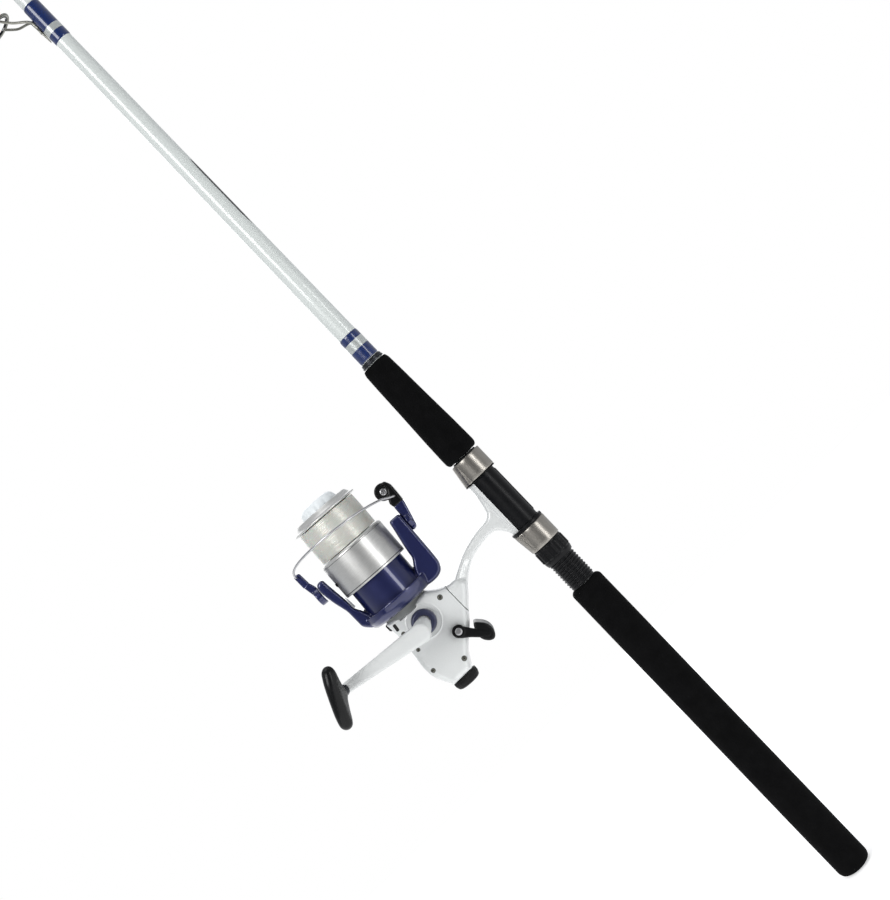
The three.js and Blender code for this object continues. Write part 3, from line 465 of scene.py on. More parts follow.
def grips():
    grip = turned("foam_rear_grip", eased([
        (8.9, 0.1), (10.6, 0.1), (13.6, 1.6), (14.9, 5), (15, 60), (14.85, 180), (15, 270), (14.9, 312.4),
        (12.5, 314.9), (9, 314.9),
    ], 3), segments=128)
    place_piece(grip, "rod", "foam", foam, "rear_grip")
    cap = turned("butt_plug", eased([
        (0, 0.05), (8.5, 0.05), (8.95, 0.9), (8.95, 14), (7, 15.4), (0, 15.4),
    ], 0.4))
    place_piece(cap, "rod", "rubber", rubber, "butt_cap")
    fore = turned("foam_fore_grip", eased([
        (9, 454.7), (13.4, 454.7), (15.1, 457.3), (15.2, 462), (14.8, 482), (13.7, 512), (12.9, 540),
        (12.35, 553.6), (11.2, 557.1), (9, 557.1),
    ], 2.4), segments=128)
    place_piece(fore, "rod", "foam", foam, "fore_grip")
    ring = turned("winding_check_ring", eased([
        (9, 558), (10.3, 558), (10.35, 559.2), (9.8, 559.8), (9.9, 560.8), (9.5, 561.9), (9, 561.9),
    ], 0.3))
    place_piece(ring, "rod", "check_grey", check_grey, "winding_check")


def blanks():
    lower = turned("blank_butt_half", eased([
        (8.6, 16.2), (8.6, 560), (blank_r(800), 800), (blank_r(1216), 1216), (blank_r(1218), 1217.6),
        (4.55, 1218), (4.5, 1284), (4.1, 1285.6), (0, 1285.6),
    ], 0.4, 3))
    place_piece(lower, "rod", "blank_white", blank_white, "butt_blank")
    upper = turned("blank_tip_half", eased([
        (4.95, 1219.2), (blank_r(1219) + 0.02, 1219.2), (blank_r(1600), 1600), (blank_r(2000), 2000),
        (blank_r(2433), 2433), (0, 2433),
    ], 0.2, 3), segments=64)
    place_piece(upper, "tip_section", "blank_white", blank_white, "tip_blank")


def pinstripe():
    """A thin line painted along the blank, 0.05 mm proud of it, that narrows at both ends."""
    low, length = 704, 72
    middle, step = -24, 5.5  # in degrees, the step being between two of a row's points
    rows, per_row = 40, 5
    verts = []
    for i in range(rows + 1):
        z = low + length * i / rows
        reach = blank_r(z) + 0.05
        wide = step * min(1, 6 * i / rows, 6 * (rows - i) / rows + 0.3)
        for k in range(per_row):
            angle = math.radians(middle + (k - per_row // 2) * wide)
            verts.append((reach * math.cos(angle), reach * math.sin(angle), z))
    faces = []
    for i in range(rows):
        for k in range(per_row - 1):
            near = i * per_row + k
            faces.append((near, near + 1, near + per_row + 1, near + per_row))
    place_piece(mesh_object("blank_pinstripe", verts, faces), "rod", "check_grey", pinstripe_ink)


def wrap(name, bands, body, *nodes):
    """Thread wrapping in coloured bands under one coat of resin; nodes go with the first band."""
    low, high = bands[0][0], bands[-1][1]
    thread, resin, run_out, ring_step = 0.12, 0.36, 1.6, 0.4

    def radius(z):
        rise = min((z - low) / run_out, (high - z) / run_out, 1)
        return blank_r(z) + thread + resin * math.sin(max(rise, 0) * math.pi / 2)

    for i, (start, end, finish) in enumerate(bands):
        count = max(int((end - start) / ring_step), 6)
        heights = [start + (end - start) * k / count for k in range(count + 1)]
        outline = [(blank_r(start) + 0.05, start)] + [(radius(z), z) for z in heights]
        outline += [(blank_r(end) + 0.05, end)]
        piece = turned(f"{name}_band_{i + 1}", outline, segments=72)
        place_piece(piece, body, "thread_blue", finish, *(nodes if i == 0 else ()))


def wraps():
    wrap("handle_wrap", [(562.4, 574, thread_blue), (574, 581.6, thread_silver), (581.6, 588, thread_blue)],
         "rod", "handle_wrap")
    wrap("stripper_wrap", [(916, 924, thread_blue), (924, 930, thread_silver), (930, 954, thread_blue)],
         "rod", "stripper_wrap")
    wrap("ferrule_wrap", [(1220, 1228, thread_blue), (1228, 1231, thread_silver), (1231, 1262, thread_blue)],
         "tip_section")


def seat_thread(angle, z):
    """The height of the seat's thread over its root."""
    phase = ((z - 316.5) / THREAD_PITCH - angle / TAU) % 1.0
    ridge = min(max(1.9 * (1 - abs(2 * phase - 1)) - 0.45, 0), 1)
    return 0.78 * ridge * ramp_up_down(z, 316, 354, 2, 2)


def seat():
    bore, root = 9, 10.95
    low, high, steps = 315.4, 355.9, 150
    threaded = [(root, low + THREAD_PITCH / 10 * k) for k in range(steps)]
    thread = turned("seat_thread", [(bore, low)] + threaded + [(bore, high)], ripple=seat_thread)
    place_piece(thread, "rod", "seat_black", seat_black, "reel_seat_tube")
    barrel = turned("seat_barrel", eased([
        (9, 355.6), (11, 355.6), (11.4, 356.6), (11.4, 453.8), (11, 454.2), (9, 454.2),
    ], 0.4))
    place_piece(barrel, "rod", "seat_black", seat_black)
    side = eased([(10.6, 384), (12, 385.5), (12, 430), (10.6, 432)], 1.2, closed=True)
    rib = slab("seat_rib", side, -1.3, 1.3, 0.5)
    place_piece(rib, "rod", "seat_black", seat_black)


def locking_nut():
    """The knurled nut, with 14 raised pads round its wide end."""
    def pads(angle, z):
        across = (angle / TAU * 14) % 1.0
        inside = min(max(5.5 * (0.36 - abs(across - 0.5)), 0), 1)
        return 0.75 * inside * ramp_up_down(z, 346.6, 357.4, 0.7, 0.7)

    bore, low, high = 11.95, 342.1, 358.6
    heights = [low, 342.4, 343.2, 344.2, 345.2, 346] + [346.4 + 0.3 * k for k in range(39)] + [358.3, high]
    skin = [(min(12.4 + (z - low) * 0.3, 13.25), z) for z in heights]
    outline = [(bore, low)] + skin + [(bore, high)]
    nut = turned("nut_with_pads", outline, segments=224, closed=True, ripple=pads)
    place_piece(nut, "seat_nut", "seat_black", seat_black, "locking_nut")


def hood_ring(z, radius, lean, half_width, sides=160):
    """A hood's outline at one height: a circle with a flat-sided wedge that leans towards -X."""
    ring = []
    for k in range(sides):
        angle = (k + 0.5) * TAU / sides
        dx, dy = math.cos(angle), math.sin(angle)
        reach = radius
        if dx < 0:
            leaning = -lean * dx + math.sqrt(radius * radius - lean * lean * dy * dy)
            reach = max(reach, min(leaning, half_width / max(abs(dy), 1e-6)))
        ring.append((reach * dx, reach * dy, z))
    return ring


def hood(name, back, mouth, lip, body):
    """A metal cover over a black liner whose lip shows at the mouth."""
    rise = 1 if mouth > back else -1

    def lean(z):
        return HOOD_LEAN * max((z - back) / (mouth - back), 0)

    def skin(label, start, end, outer, inner, half_width):
        near = [start, start + 0.25 * rise, start + 0.7 * rise]
        far = [end - 0.7 * rise, end - 0.25 * rise, end]
        middle = [start + (end - start) * t for t in (0.2, 0.4, 0.6, 0.8)]
        shrink = [0.45, 0.12, 0, 0, 0, 0, 0, 0, 0.12, 0.45]
        rings = []
        for z, less in zip(near + middle + far, shrink):
            rings.append(hood_ring(z, outer - less, lean(z), half_width - less * 0.5))
        for z in (end, start):
            rings.append(hood_ring(z, inner, lean(z), half_width - 0.9))
        return rings_object(label, rings, looped=True)

    edge = mouth - lip * rise
    cover = skin(f"{name}_metal", back, edge, HOOD_R, HOOD_R - 0.7, 10.2)
    place_piece(cover, body, "smoke_metal", smoke, f"{name}_cover")
    lining = skin(f"{name}_lip", edge + 0.1 * rise, mouth, HOOD_R - 0.1, 12.1, 10)
    place_piece(lining, body, "seat_black", seat_black, f"{name}_liner")
    low, high = sorted((back + 0.3 * rise, edge))
    collar = turned(f"{name}_sleeve", eased([
        (12.1, low), (13.2, low), (13.2, high), (12.1, high),
    ], 0.3, closed=True), closed=True)
    place_piece(collar, body, "seat_black", seat_black)


def rim_section(r, wire_r, count):
    """The round section of a ring's wire."""
    return [
        (r + wire_r * math.cos(a), wire_r * math.sin(a)) for a in np.linspace(0, TAU, count, False)
    ]


GUIDES = [  # name, place along the rod, ring radius and wire size; the first is on the butt half
    ("stripper_guide", 943, 13, 1.15),
    ("guide_2", 1330, 9.5, 1.0),
    ("guide_3", 1620, 7.5, 0.85),
    ("guide_4", 1860, 6, 0.75),
    ("guide_5", 2065, 5, 0.7),
    ("guide_6", 2250, 4.2, 0.6),
]


def guide(name, z, ring_r, wire):
    """A wire frame of two legs, a foot and a rim, round a ceramic ring that leans forward."""
    body = "rod" if name == "stripper_guide" else "tip_section"
    surface = -blank_r(z - ring_r) - 0.8 - wire * 0.9
    ring_x = surface - ring_r * 1.55 - 3
    ring_z = z + ring_r * 0.9 + 4
    plane = Matrix.Translation((ring_x, 0, ring_z)) @ Matrix.Rotation(math.radians(-14), 4, "Y")
    parts = [turned("rim", rim_section(ring_r, wire * 1.1, 20), plane, 72, closed=True)]
    for side in (1, -1):
        parts.append(bar("leg", [
            (surface, side * wire * 0.8, z - ring_r * 0.9),
            (surface, side * wire * 0.9, z),
            ((surface + ring_x) / 2, side * ring_r * 0.7, (z + ring_z) / 2),
            (ring_x + ring_r * 0.25, side * (ring_r + wire * 0.4), ring_z + ring_r * 0.06),
        ], [wire * 0.95] * 2, 40, 14))
    toe = z - ring_r * 0.9 - 10
    parts.append(bar("foot", [
        (surface + wire * 0.4, 0, toe), (surface + wire * 0.25, 0, (toe + z) / 2), (surface, 0, z + 0.8),
    ], [wire * 0.4, wire * 0.9, wire * 1.3], 24, 16, flat=1.25))
    frame_piece = joined(f"{name}_frame", *parts)
    place_piece(frame_piece, body, "guide_metal", guide_metal, name)
    outer = ring_r - wire * 1.05
    insert = turned(f"{name}_ceramic", eased([
        (outer - 1.2, -1), (outer, -1), (outer, 1), (outer - 1.2, 1),
    ], 0.5, 5, closed=True), plane, 72, closed=True)
    if name == "stripper_guide":
        place_piece(insert, body, "ring_ceramic", ceramic, "stripper_insert")
        return
    place_piece(insert, body, "ring_ceramic", ceramic)
    low, high = toe - 4, z - 1
    wrap(f"{name}_wrap", [(low, low + 4, thread_silver), (low + 4, high, thread_blue)], body)


def tip_top():
    r = blank_r(2426)
    parts = [turned("sleeve", eased([
        (r + 0.25, 2423.2), (r + 0.85, 2423.2), (r + 0.85, 2435), (0, 2435.5),
    ], 0.3), segments=48)]
    plane = Matrix.Translation((-r - 2.6, 0, 2433)) @ Matrix.Rotation(math.radians(-50), 4, "Y")
    parts.append(turned("rim", rim_section(3.4, 0.85, 16), plane, 48, closed=True))
    place_piece(joined("tip_ring_and_sleeve", *parts), "tip_section", "guide_metal", guide_metal, "tip_top")
    section = eased([(2.1, -0.6), (2.6, -0.6), (2.6, 0.6), (2.1, 0.6)], 0.2, closed=True)
    insert = turned("tip_ring_ceramic", section, plane, 48, closed=True)
    place_piece(insert, "tip_section", "ring_ceramic", ceramic)


def screw_head(name, place, r, thick, finish, body, slot, *nodes):
    """A round head with a cross in it, drawn about Z with its face up."""
    dome = eased([(0, thick), (r * 0.8, thick * 0.96), (r, thick * 0.6), (r, 0), (0, 0)], r * 0.25, 4)
    head = turned(name, dome, place, 40)
    long, short, deep = (-r * 0.6, r * 0.6), (-r * 0.14, r * 0.14), (thick * 0.35, thick * 2)
    for x, y in ((long, short), (short, long)):
        combine(head, block("bar", x, y, deep, place), "DIFFERENCE")
    place_piece(head, body, slot, finish, *nodes)


# ---------------- the reel's body ----------------
BODY_RIGHT = [
    (-97, 398.6), (-88, 392.3), (-80, 389.3), (-71.5, 388.3), (-66.5, 382.5), (-70, 376), (-79, 366),
    (-89, 354.5), (-97, 347), (-104, 339.5), (-111, 328.8),
]
BODY_LEFT = [
    (-131, 328.8), (-134.5, 336), (-138, 344), (-139, 355), (-137.6, 368), (-136.2, 385), (-137, 400.2),
]
STEM_TOP = [
    (-12.8, 434), (-14.8, 424), (-16.5, 415), (-19, 407.5), (-24, 404.6), (-33, 403.6), (-48, 400.3),
    (-60, 395.6), (-70, 390.5), (-80, 385),
]
STEM_BOTTOM = [
    (-80, 371), (-70, 376.5), (-62, 383.7), (-50, 390.9), (-38, 393.6), (-29, 394.6), (-23, 393.6),
    (-18.5, 389), (-14.8, 383), (-12.8, 376),
]
PLATE_END_X = -82
PARTING_Y = -8
SEAM = 0.2
STEM_FLARE = (-48, -78, 1.5)  # the x where the stem starts to widen, the x where it is widest, and the gain


def body_form(name):
    """The whole body's soft-edged form, which the housing and the side plate share."""
    outline = smooth(BODY_RIGHT, 90) + smooth(BODY_LEFT, 60)
    return melted(slab(name, outline, -18.8, 18.8, 7.5, 5.2, 10), 0.5, 4)


def drum(name, r, low, high, place=ROD, segments=72):
    """A plain cylinder to cut with."""
    return turned(name, [(0, low), (r, low), (r, high), (0, high)], place, segments)


def plate_space(name, gap):
    """The room that the side plate fills, drawn back from the two parting faces by a gap."""
    return block(name, (-170, PLATE_END_X - gap), (-50, PARTING_Y - gap), (310, 402))


def reel_foot():
    """The foot's curved plate, thin and rounded at its two ends, which lies along the seat."""
    outer_r, inner_r, half_width = 12.1, 11.75, 7.9
    rings = []
    for z in (369, 369.3, 370, 372, 375, 378, 381, 390, 400, 412, 424, 434, 438, 441, 443.6, 444.6, 445):
        lean = np.interp(z, [369, 381, 434, 445], [0.7, 2.7, 2.7, 0.7])
        half = half_width * math.sqrt(max(1 - (max(372 - z, z - 441.5, 0) / 4.2) ** 2, 0.12))
        angles = np.linspace(-1, 1, 33) * math.asin(half / outer_r)
        outer = [(-outer_r * math.cos(a) - lean, outer_r * math.sin(a), z) for a in angles]
        inner = [(-inner_r * math.cos(a), inner_r * math.sin(a), z) for a in angles[::-1] * 0.99]
        rings.append(outer + inner)
    return rings_object("reel_foot", rings)


def stem():
    """The arm from the foot to the body, which widens into the body."""
    outline = smooth(STEM_TOP, 60) + smooth(STEM_BOTTOM, 60)
    form = melted(slab("stem", [(-8, 434)] + outline + [(-8, 376)], -6.4, 6.4, 4.2, 2.6, 8), 0.5, 2)
    start, end, gain = STEM_FLARE
    for vert in form.data.vertices:
        share = min(max((vert.co.x / MM - start) / (end - start), 0), 1)
        vert.co.y *= 1 + gain * share * share * (3 - 2 * share)
    return combine(form, drum("seat_room", 12.0, 350, 460), "DIFFERENCE", "MANIFOLD")


def housing():
    shell = combine(body_form("housing"), plate_space("space", -SEAM), "DIFFERENCE", "MANIFOLD")
    neck = turned("neck", eased([(0, 13.5), (20, 13.5), (20, 24.4), (0, 24.4)], 0.8), REEL, 96)
    shell = melted(joined("reel_housing", shell, neck, stem(), reel_foot()), 0.5, 12)
    combine(shell, plate_space("space", -SEAM), "DIFFERENCE", "MANIFOLD")
    place_piece(shell, "rod", "pearl", pearl, "gear_housing")


PLATE_SCREWS = [  # x, z and head radius; the CAD model has the first four
    (-90.5, 387, 1.9), (-110, 339, 1.9), (-134.3, 349, 1.6), (-131.5, 369, 1.3), (-131.2, 386, 1.5),
]
CAD_PLATE_SCREWS = 4


def on_face(target, x, z):
    """The place on a piece's near face at (x, z), with Z along the face's normal."""
    _, point, normal, _ = target.ray_cast(Vector((x, -60, z)) * MM, Vector((0, 1, 0)))
    return Matrix.Translation(point / MM) @ normal.to_track_quat("Z", "Y").to_matrix().to_4x4()


def side_plate():
    boss = turned("boss", eased([
        (0, 10), (0, 22.3), (12.2, 22.3), (13.4, 21.4), (13.9, 19.6), (14.9, 18.7), (15.2, 17.5), (15.2, 10),
    ], 0.8, closed=True), CRANK_AXIS @ ABOUT_Y, 96)
    plate = combine(body_form("plate"), plate_space("space", SEAM), "INTERSECT", "MANIFOLD")
    combine(plate, drum("neck_room", 20.35, 12, 40, REEL), "DIFFERENCE", "MANIFOLD")
    plate = melted(joined("reel_side_plate", plate, boss), 0.42, 7)
    combine(plate, drum("collar_room", 10.9, 21, 40, CRANK_AXIS @ ABOUT_Y), "DIFFERENCE", "MANIFOLD")
    place_piece(plate, "rod", "pearl", pearl, "side_plate")
    return plate


def plate_screws(plate):
    """Screws that follow the plate's face, each ringed by a thin dark disc of painted shade that stands for
    the hollow round its head.
    """
    sink, gap, proud = 0.4, 0.35, 0.08
    for i, (x, z, r) in enumerate(PLATE_SCREWS):
        place = on_face(plate, x, z)
        rim = r + gap
        # The dark disc is painted shade, just proud of the face; no hollow is cut in the plate.
        section = eased([(0, -sink), (rim, -sink), (rim, proud), (0, proud)], 0.05)
        shade_disc = turned(f"plate_screw_shade_disc_{i + 1}", section, place, 40)
        place_piece(shade_disc, "rod", "black_plastic", recess_painted_shade)
        nodes = [f"plate_screw_{i + 1}"] if i < CAD_PLATE_SCREWS else []
        seat_place = place @ Matrix.Translation((0, 0, -0.3))
        screw_head(f"plate_screw_head_{i + 1}", seat_place, r, 0.75, screw_dark, "rod", "screw_grey", *nodes)


def reverse_switch():
    """The ribbed slider under the body, and a dark patch of painted shade beside it."""
    # The dark patch is painted shade laid on the plate's face; no hollow is cut there.
    shade_patch = eased([(-134, 390.6), (-131.2, 390.2), (-130.4, 396.6), (-133, 397)], 1.3, closed=True)
    place_piece(slab("switch_shade_patch", shade_patch, -18.9, -16.5, 0.1), "rod", "black_plastic", recess_painted_shade)
    side = eased([(-138.6, 393.2), (-136.6, 392.4), (-137, 399.8), (-138.9, 399.4)], 0.5, closed=True)
    grip = [slab("switch", side, -3, 3, 0.4)]
    for k in range(4):
        low = -2.4 + 1.4 * k
        grip.append(block("rib", (-139.2, -138.2), (low, low + 0.6), (393.8, 399), edge=0.2))
    switch = joined("switch_with_ribs", *grip)
    place_piece(switch, "anti_reverse", "black_plastic", black, "anti_reverse_switch")


def tension_knob():
    def ribs(angle, w):
        return 0.28 * ramp_up_down(w, -61.2, -55, 0.8, 0.8) * (abs(math.sin(angle * 15)) - 0.5)

    heights = [-62.7, -62.5, -62.1] + [-61.5 + 0.35 * k for k in range(20)] + [-54.7]
    radii = np.interp(heights, [-62.7, -62.4, -61.5, -58.5, -54.8], [7.2, 8.6, 10, 11.1, 11.2])
    outline = [(0, -62.75)] + list(zip(radii, heights)) + [(4, -54.6), (0, -54.6)]
    cap = turned("tension_knob_ribbed", outline, REEL, 240, ripple=ribs)
    place_piece(cap, "tension", "black_plastic", satin_black, "tension_knob")


def feeder_lever():
    place = Matrix.Translation((-98.2, 0, 357.7)) @ Matrix.Rotation(math.radians(43), 4, "Y")
    top = 23.5
    boss = turned("boss", eased([(0, 19.6), (5.3, 19.6), (5.3, top), (0, top)], 0.7), place @ ABOUT_Y, 64)
    arm = slab("arm", smooth([
        (-2, 4.6), (6, 3.4), (14, 1.9), (21, 1.4), (25.6, -0.6), (25.4, -3.8), (21, -4.9), (10, -4.8),
        (-2, -4.6),
    ], 60, closed=True), -23.3, -20.7, 1.1, place=place)
    thumb = slab("thumb", smooth([
        (12.2, 6.6), (17, 7), (22.5, 5.8), (26.8, 2.4), (28.8, -2), (28.2, -5.8), (25, -7.4), (19.6, -6.8),
        (16, -4.4), (13, 0.6),
    ], 110, closed=True), -23.2, 3.9, 1.8, place=place)
    lever = melted(joined("feeder_lever_arm", boss, arm, thumb), 0.3, 5)
    place_piece(lever, "feeder", "black_plastic", black, "feeder_lever")
    screw_place = place @ ABOUT_Y @ Matrix.Translation((0, 0, top))
    screw_head("feeder_lever_screw", screw_place, 3.0, 1.4, steel, "rod", "steel", "lever_screw")


# ---------------- rotor and bail ----------------
RIGHT_ARM = [
    (24, 19), (31, 18.2), (37, 18.6), (42, 21), (45, 27), (45.4, 36), (45.6, 60), (45.5, 77.3), (35, 77.3),
    (34.4, 72), (31, 50), (30.5, 43), (27, 38), (23.5, 30),
]
LEFT_ARM = [
    (-23, 19), (-30, 22), (-35.4, 27.6), (-36.5, 45), (-40.5, 58), (-42.6, 70), (-42.2, 75), (-40, 77.5),
    (-35, 77.5), (-34.4, 72), (-31, 50), (-30.5, 43), (-27, 38), (-23.5, 30),
]
BAIL_WIRE = [
    (-49.2, 0.4, 90.6), (-49.6, -9, 92), (-46, -26, 96.5), (-36, -45, 99.4), (-20, -58, 100.6),
    (0, -63.4, 100.4), (18, -59, 99.2), (33, -46, 97), (43, -30, 94.4), (48, -17, 91.6), (51.6, -8, 90),
    (52.6, 0, 90),
]


def bail_axis(side, out=0):
    """A place on the bail's pivot axis, with Z pointing out of the reel on the given side."""
    turn = Matrix.Rotation(side * math.pi / 2, 4, "Y")
    return REEL @ Matrix.Translation((side * out, 0, BAIL_PIVOT_W)) @ turn


def rotor():
    sides = [eased(outline, 2.5, 5, closed=True) for outline in (RIGHT_ARM, LEFT_ARM)]
    blanks_cut = [slab("arm", side, -12, 12, 4.2, 2.4, 8, REEL) for side in sides]
    arms = melted(joined("arms", *blanks_cut), 0.45, 2)
    for r, low, high in ((23.9, 31, 60), (21.6, 10, 25.3), (31.7, 43.2, 90)):
        combine(arms, drum("room", r, low, high, REEL, 128), "DIFFERENCE", "MANIFOLD")
    bowl = turned("bowl", eased([
        (21.5, 18.5), (26.4, 18.5), (29.2, 20.4), (31.2, 24), (31.9, 29.3), (30.4, 29.6), (29.4, 27.4),
        (26, 27.2), (25.6, 28.4), (25.5, 53.9), (23.9, 53.9), (23.9, 31), (9.5, 31), (9.5, 33.4),
        (6.1, 33.4), (6.1, 25.5), (21.5, 25.5),
    ], 1.1, 5, closed=True), REEL, 160, closed=True)
    body = melted(joined("rotor_with_arms", arms, bowl), 0.42, 9)
    place_piece(body, "rotor", "navy", navy, "rotor")
    for side, reach, name in ((1, 49.1, "bail_screw_roller_side"), (-1, 47.7, "bail_screw_far_side")):
        screw_head(f"{name}_head", bail_axis(side, reach), 3.5, 1.2, screw_dark, "rotor", "steel", name)


def bail_pivot(side, low, high):
    """A round hub on the pivot axis, sunk for its screw's head."""
    place = bail_axis(side)
    hub = turned("hub", eased([(0, low), (7.6, low), (7.6, high), (0, high)], 0.9), place, 72)
    return combine(hub, drum("head_room", 4, high - 1.2, high + 5, place, 48), "DIFFERENCE")


def bail_arm():
    arm = slab("arm", eased([
        (45.5, 58.6), (50.2, 60), (52.6, 70), (55.1, 81), (55.2, 84), (46, 84), (45.5, 82),
    ], 1.8, closed=True), -5.6, 8, 2.4, 1.6, place=REEL)
    arm = melted(joined("bail_arm_lever", bail_pivot(1, 45.9, 50), arm), 0.35, 4)
    place_piece(arm, "bail", "navy", navy, "bail_arm")


def roller_head():
    """The black housing at the end of the bail arm: two cheeks with a bridge between."""
    hub_place = REEL @ Matrix.Translation((ROLLER[0], 0, ROLLER[2])) @ ABOUT_Y
    cheeks = [
        turned("cheek", eased([(0, 1.1), (7.4, 1.1), (7.4, 4), (0, 4)], 1.1), hub_place, 72),
        turned("cheek", eased([(0, -8), (7.2, -8), (7.2, -5.7), (0, -5.7)], 0.9), hub_place, 72),
        slab("bridge", eased([
            (46, 82.4), (55.2, 82.4), (55.6, 92), (55.6, 99), (53, 104.4), (49.6, 104), (51, 98), (47, 92),
            (44.6, 87.4),
        ], 1.6, closed=True), -5.6, 8, 1.8, place=REEL),
    ]
    head = melted(joined("roller_housing", *cheeks), 0.32, 4)
    combine(head, drum("screw_seat", 3.3, 3.3, 9, hub_place, 40), "DIFFERENCE")
    place_piece(head, "bail", "black_plastic", black)
    screw_place = hub_place @ Matrix.Translation((0, 0, 3.3))
    screw_head("roller_screw_head", screw_place, 2.9, 1.0, steel, "bail", "steel", "roller_screw")


def bail_lever():
    lever = slab("lever", eased([
        (-43, 76), (-43, 60.6), (-47.8, 62), (-49, 72), (-51.2, 82), (-45.6, 83),
    ], 1.8, closed=True), -4.5, 4.5, 2, 1.3, place=REEL)
    lever = melted(joined("bail_lever_arm", bail_pivot(-1, 43, 48.5), lever), 0.35, 6)
    place_piece(lever, "bail", "navy", navy, "bail_lever")
    end = eased([(-51.3, 80.5), (-52, 93.4), (-46.4, 93.4), (-45.2, 81)], 1.6, closed=True)
    tip = slab("bail_lever_tip", end, -4.4, 4.4, 1.8, 1.2, place=REEL)
    place_piece(tip, "bail", "navy", navy)


def bail_wire():
    wire = bar("bail_wire_loop", BAIL_WIRE, [0.95, 0.95], 150, 16, REEL)
    place_piece(wire, "bail", "steel", steel, "bail_wire")


def line_roller():
    roller = turned("line_roller_turned", eased([
        (1.9, -2.4), (4.7, -2.4), (4.7, -1.5), (3.9, -0.5), (3.9, 0.5), (4.7, 1.5), (4.7, 2.4), (1.9, 2.4),
    ], 0.4, closed=True), REEL @ Matrix.Translation(ROLLER) @ ABOUT_Y, 64, closed=True)
    place_piece(roller, "roller", "steel", steel, "line_roller")


# ---------------- spool ----------------
def spool():
    body = turned("spool_turned", eased([
        (29.9, 52.7), (30, 53.2), (30, 82.6), (28.6, 84.3), (20.3, 84.4), (20.3, 114.2), (28, 114.4),
        (30.2, 115), (30.3, 115.8), (27.2, 116.9), (25.8, 119), (24.6, 120.9), (21, 121), (18, 121),
        (18, 106), (2.4, 106), (2.4, 60), (8, 60), (8, 100), (16.5, 100), (16.5, 81.5), (28.7, 81.5),
        (28.7, 52.7),
    ], 0.7, 5, closed=True), REEL, 192, closed=True)
    place_piece(body, "spool", "spool_silver", silver, "spool")
    for i, (low, high) in enumerate(((54.2, 54.9), (81.2, 81.6))):
        section = [(29.9, low), (30.04, low + 0.02), (30.04, high - 0.02), (29.9, high)]
        band = turned(f"skirt_line_{i + 1}", section, REEL, 192)
        place_piece(band, "spool", "spool_silver", print_grey)


def wound_line():
    """The line's bulk, whose surface shows two crossing lays and a slight swell in the middle."""
    def lay(angle, w):
        first = math.sin(w * TAU / 1.15 + angle * 3)
        second = math.sin(w * TAU / 1.7 - angle * 5)
        swell = 0.22 * math.sin((w - 84) / 30 * math.pi)
        return 0.035 * first + 0.03 * second + swell

    heights = [84.9 + 0.24 * k for k in range(121)]
    outline = [(20.5, 84.7)] + [(26.9, w) for w in heights] + [(20.5, 114)]
    line = turned("line_on_spool", outline, REEL, 192, ripple=lay)
    place_piece(line, "spool", "line_white", wound, "wound_line")


def line_clip():
    clip_place = REEL @ Matrix.Rotation(math.radians(19.5), 4, "Z")
    clip = block("line_clip_tab", (-31.1, -30), (-1.7, 1.7), (64.6, 67.8), clip_place, 0.5)
    place_piece(clip, "spool", "black_plastic", black, "line_clip")


def drag_knob():
    """A milk-white dome with a faint painted glow, and 12 shallow scallops round its edge."""
    def grip(angle, w):
        return -0.45 * (0.5 + 0.5 * math.cos(angle * 12)) ** 3 * ramp_up_down(w, 119, 127, 1.5, 2)

    rough_outline = eased([
        (2.3, 111), (17.2, 111), (17.2, 121.2), (16.8, 123), (15.6, 126), (13.4, 127.9), (10.8, 128.5),
        (0, 128.7),
    ], 0.8, 5)
    outline = []
    for point, after in zip(rough_outline, rough_outline[1:]):
        outline += [point, ((point[0] + after[0]) / 2, (point[1] + after[1]) / 2)]
    outline.append(rough_outline[-1])
    dome = turned("drag_knob_dome", outline, REEL, 192, ripple=grip)
    place_piece(dome, "drag_adjuster", "drag_clear", milky_painted_glow, "drag_knob")


# ---------------- crank ----------------
def crank_arm():
    """A flat arm, thinner and further out at the knob's end, on a round shank that leans into its elbow."""
    outline = arc(0, 8, -100, 97, 24) + arc(-ARM_REACH, 4.3, 93, 267, 18)
    arm = slab("arm", filled(outline, 2), -5.2, 5.2, 3.9, 3.2, 8)
    thinning = 0.25
    for v in arm.data.vertices:
        share = min(max(-v.co.x / MM / ARM_REACH, 0), 1)
        middle = ARM_ROOT_Y + (ARM_TIP_Y - ARM_ROOT_Y) * share
        v.co.y = middle * MM + v.co.y * (1 - thinning * share)
        fade = 1 - share
        v.co.x += ELBOW_LEAN[0] * MM * fade
        v.co.z += ELBOW_LEAN[1] * MM * fade
        v.co = (CRANK @ (v.co / MM)) * MM
    shank = turned("shank", eased([
        (0, 23), (5, 23), (5, 29.2), (6.4, 34), (7.3, 41), (7.6, 47), (7.2, 51.5), (4.5, 54.5), (0, 55),
    ], 1.5))
    lean_low, lean_high = 27, -ARM_ROOT_Y
    for v in shank.data.vertices:
        along = min(max((v.co.z / MM - lean_low) / (lean_high - lean_low), 0), 1)
        v.co = (CRANK @ ABOUT_Y @ (v.co / MM + Vector((*ELBOW_LEAN, 0)) * along)) * MM
    arm = melted(joined("crank_arm_cast", arm, shank), 0.32, 7)
    place_piece(arm, "crank", "pearl", arm_white, "crank_arm")


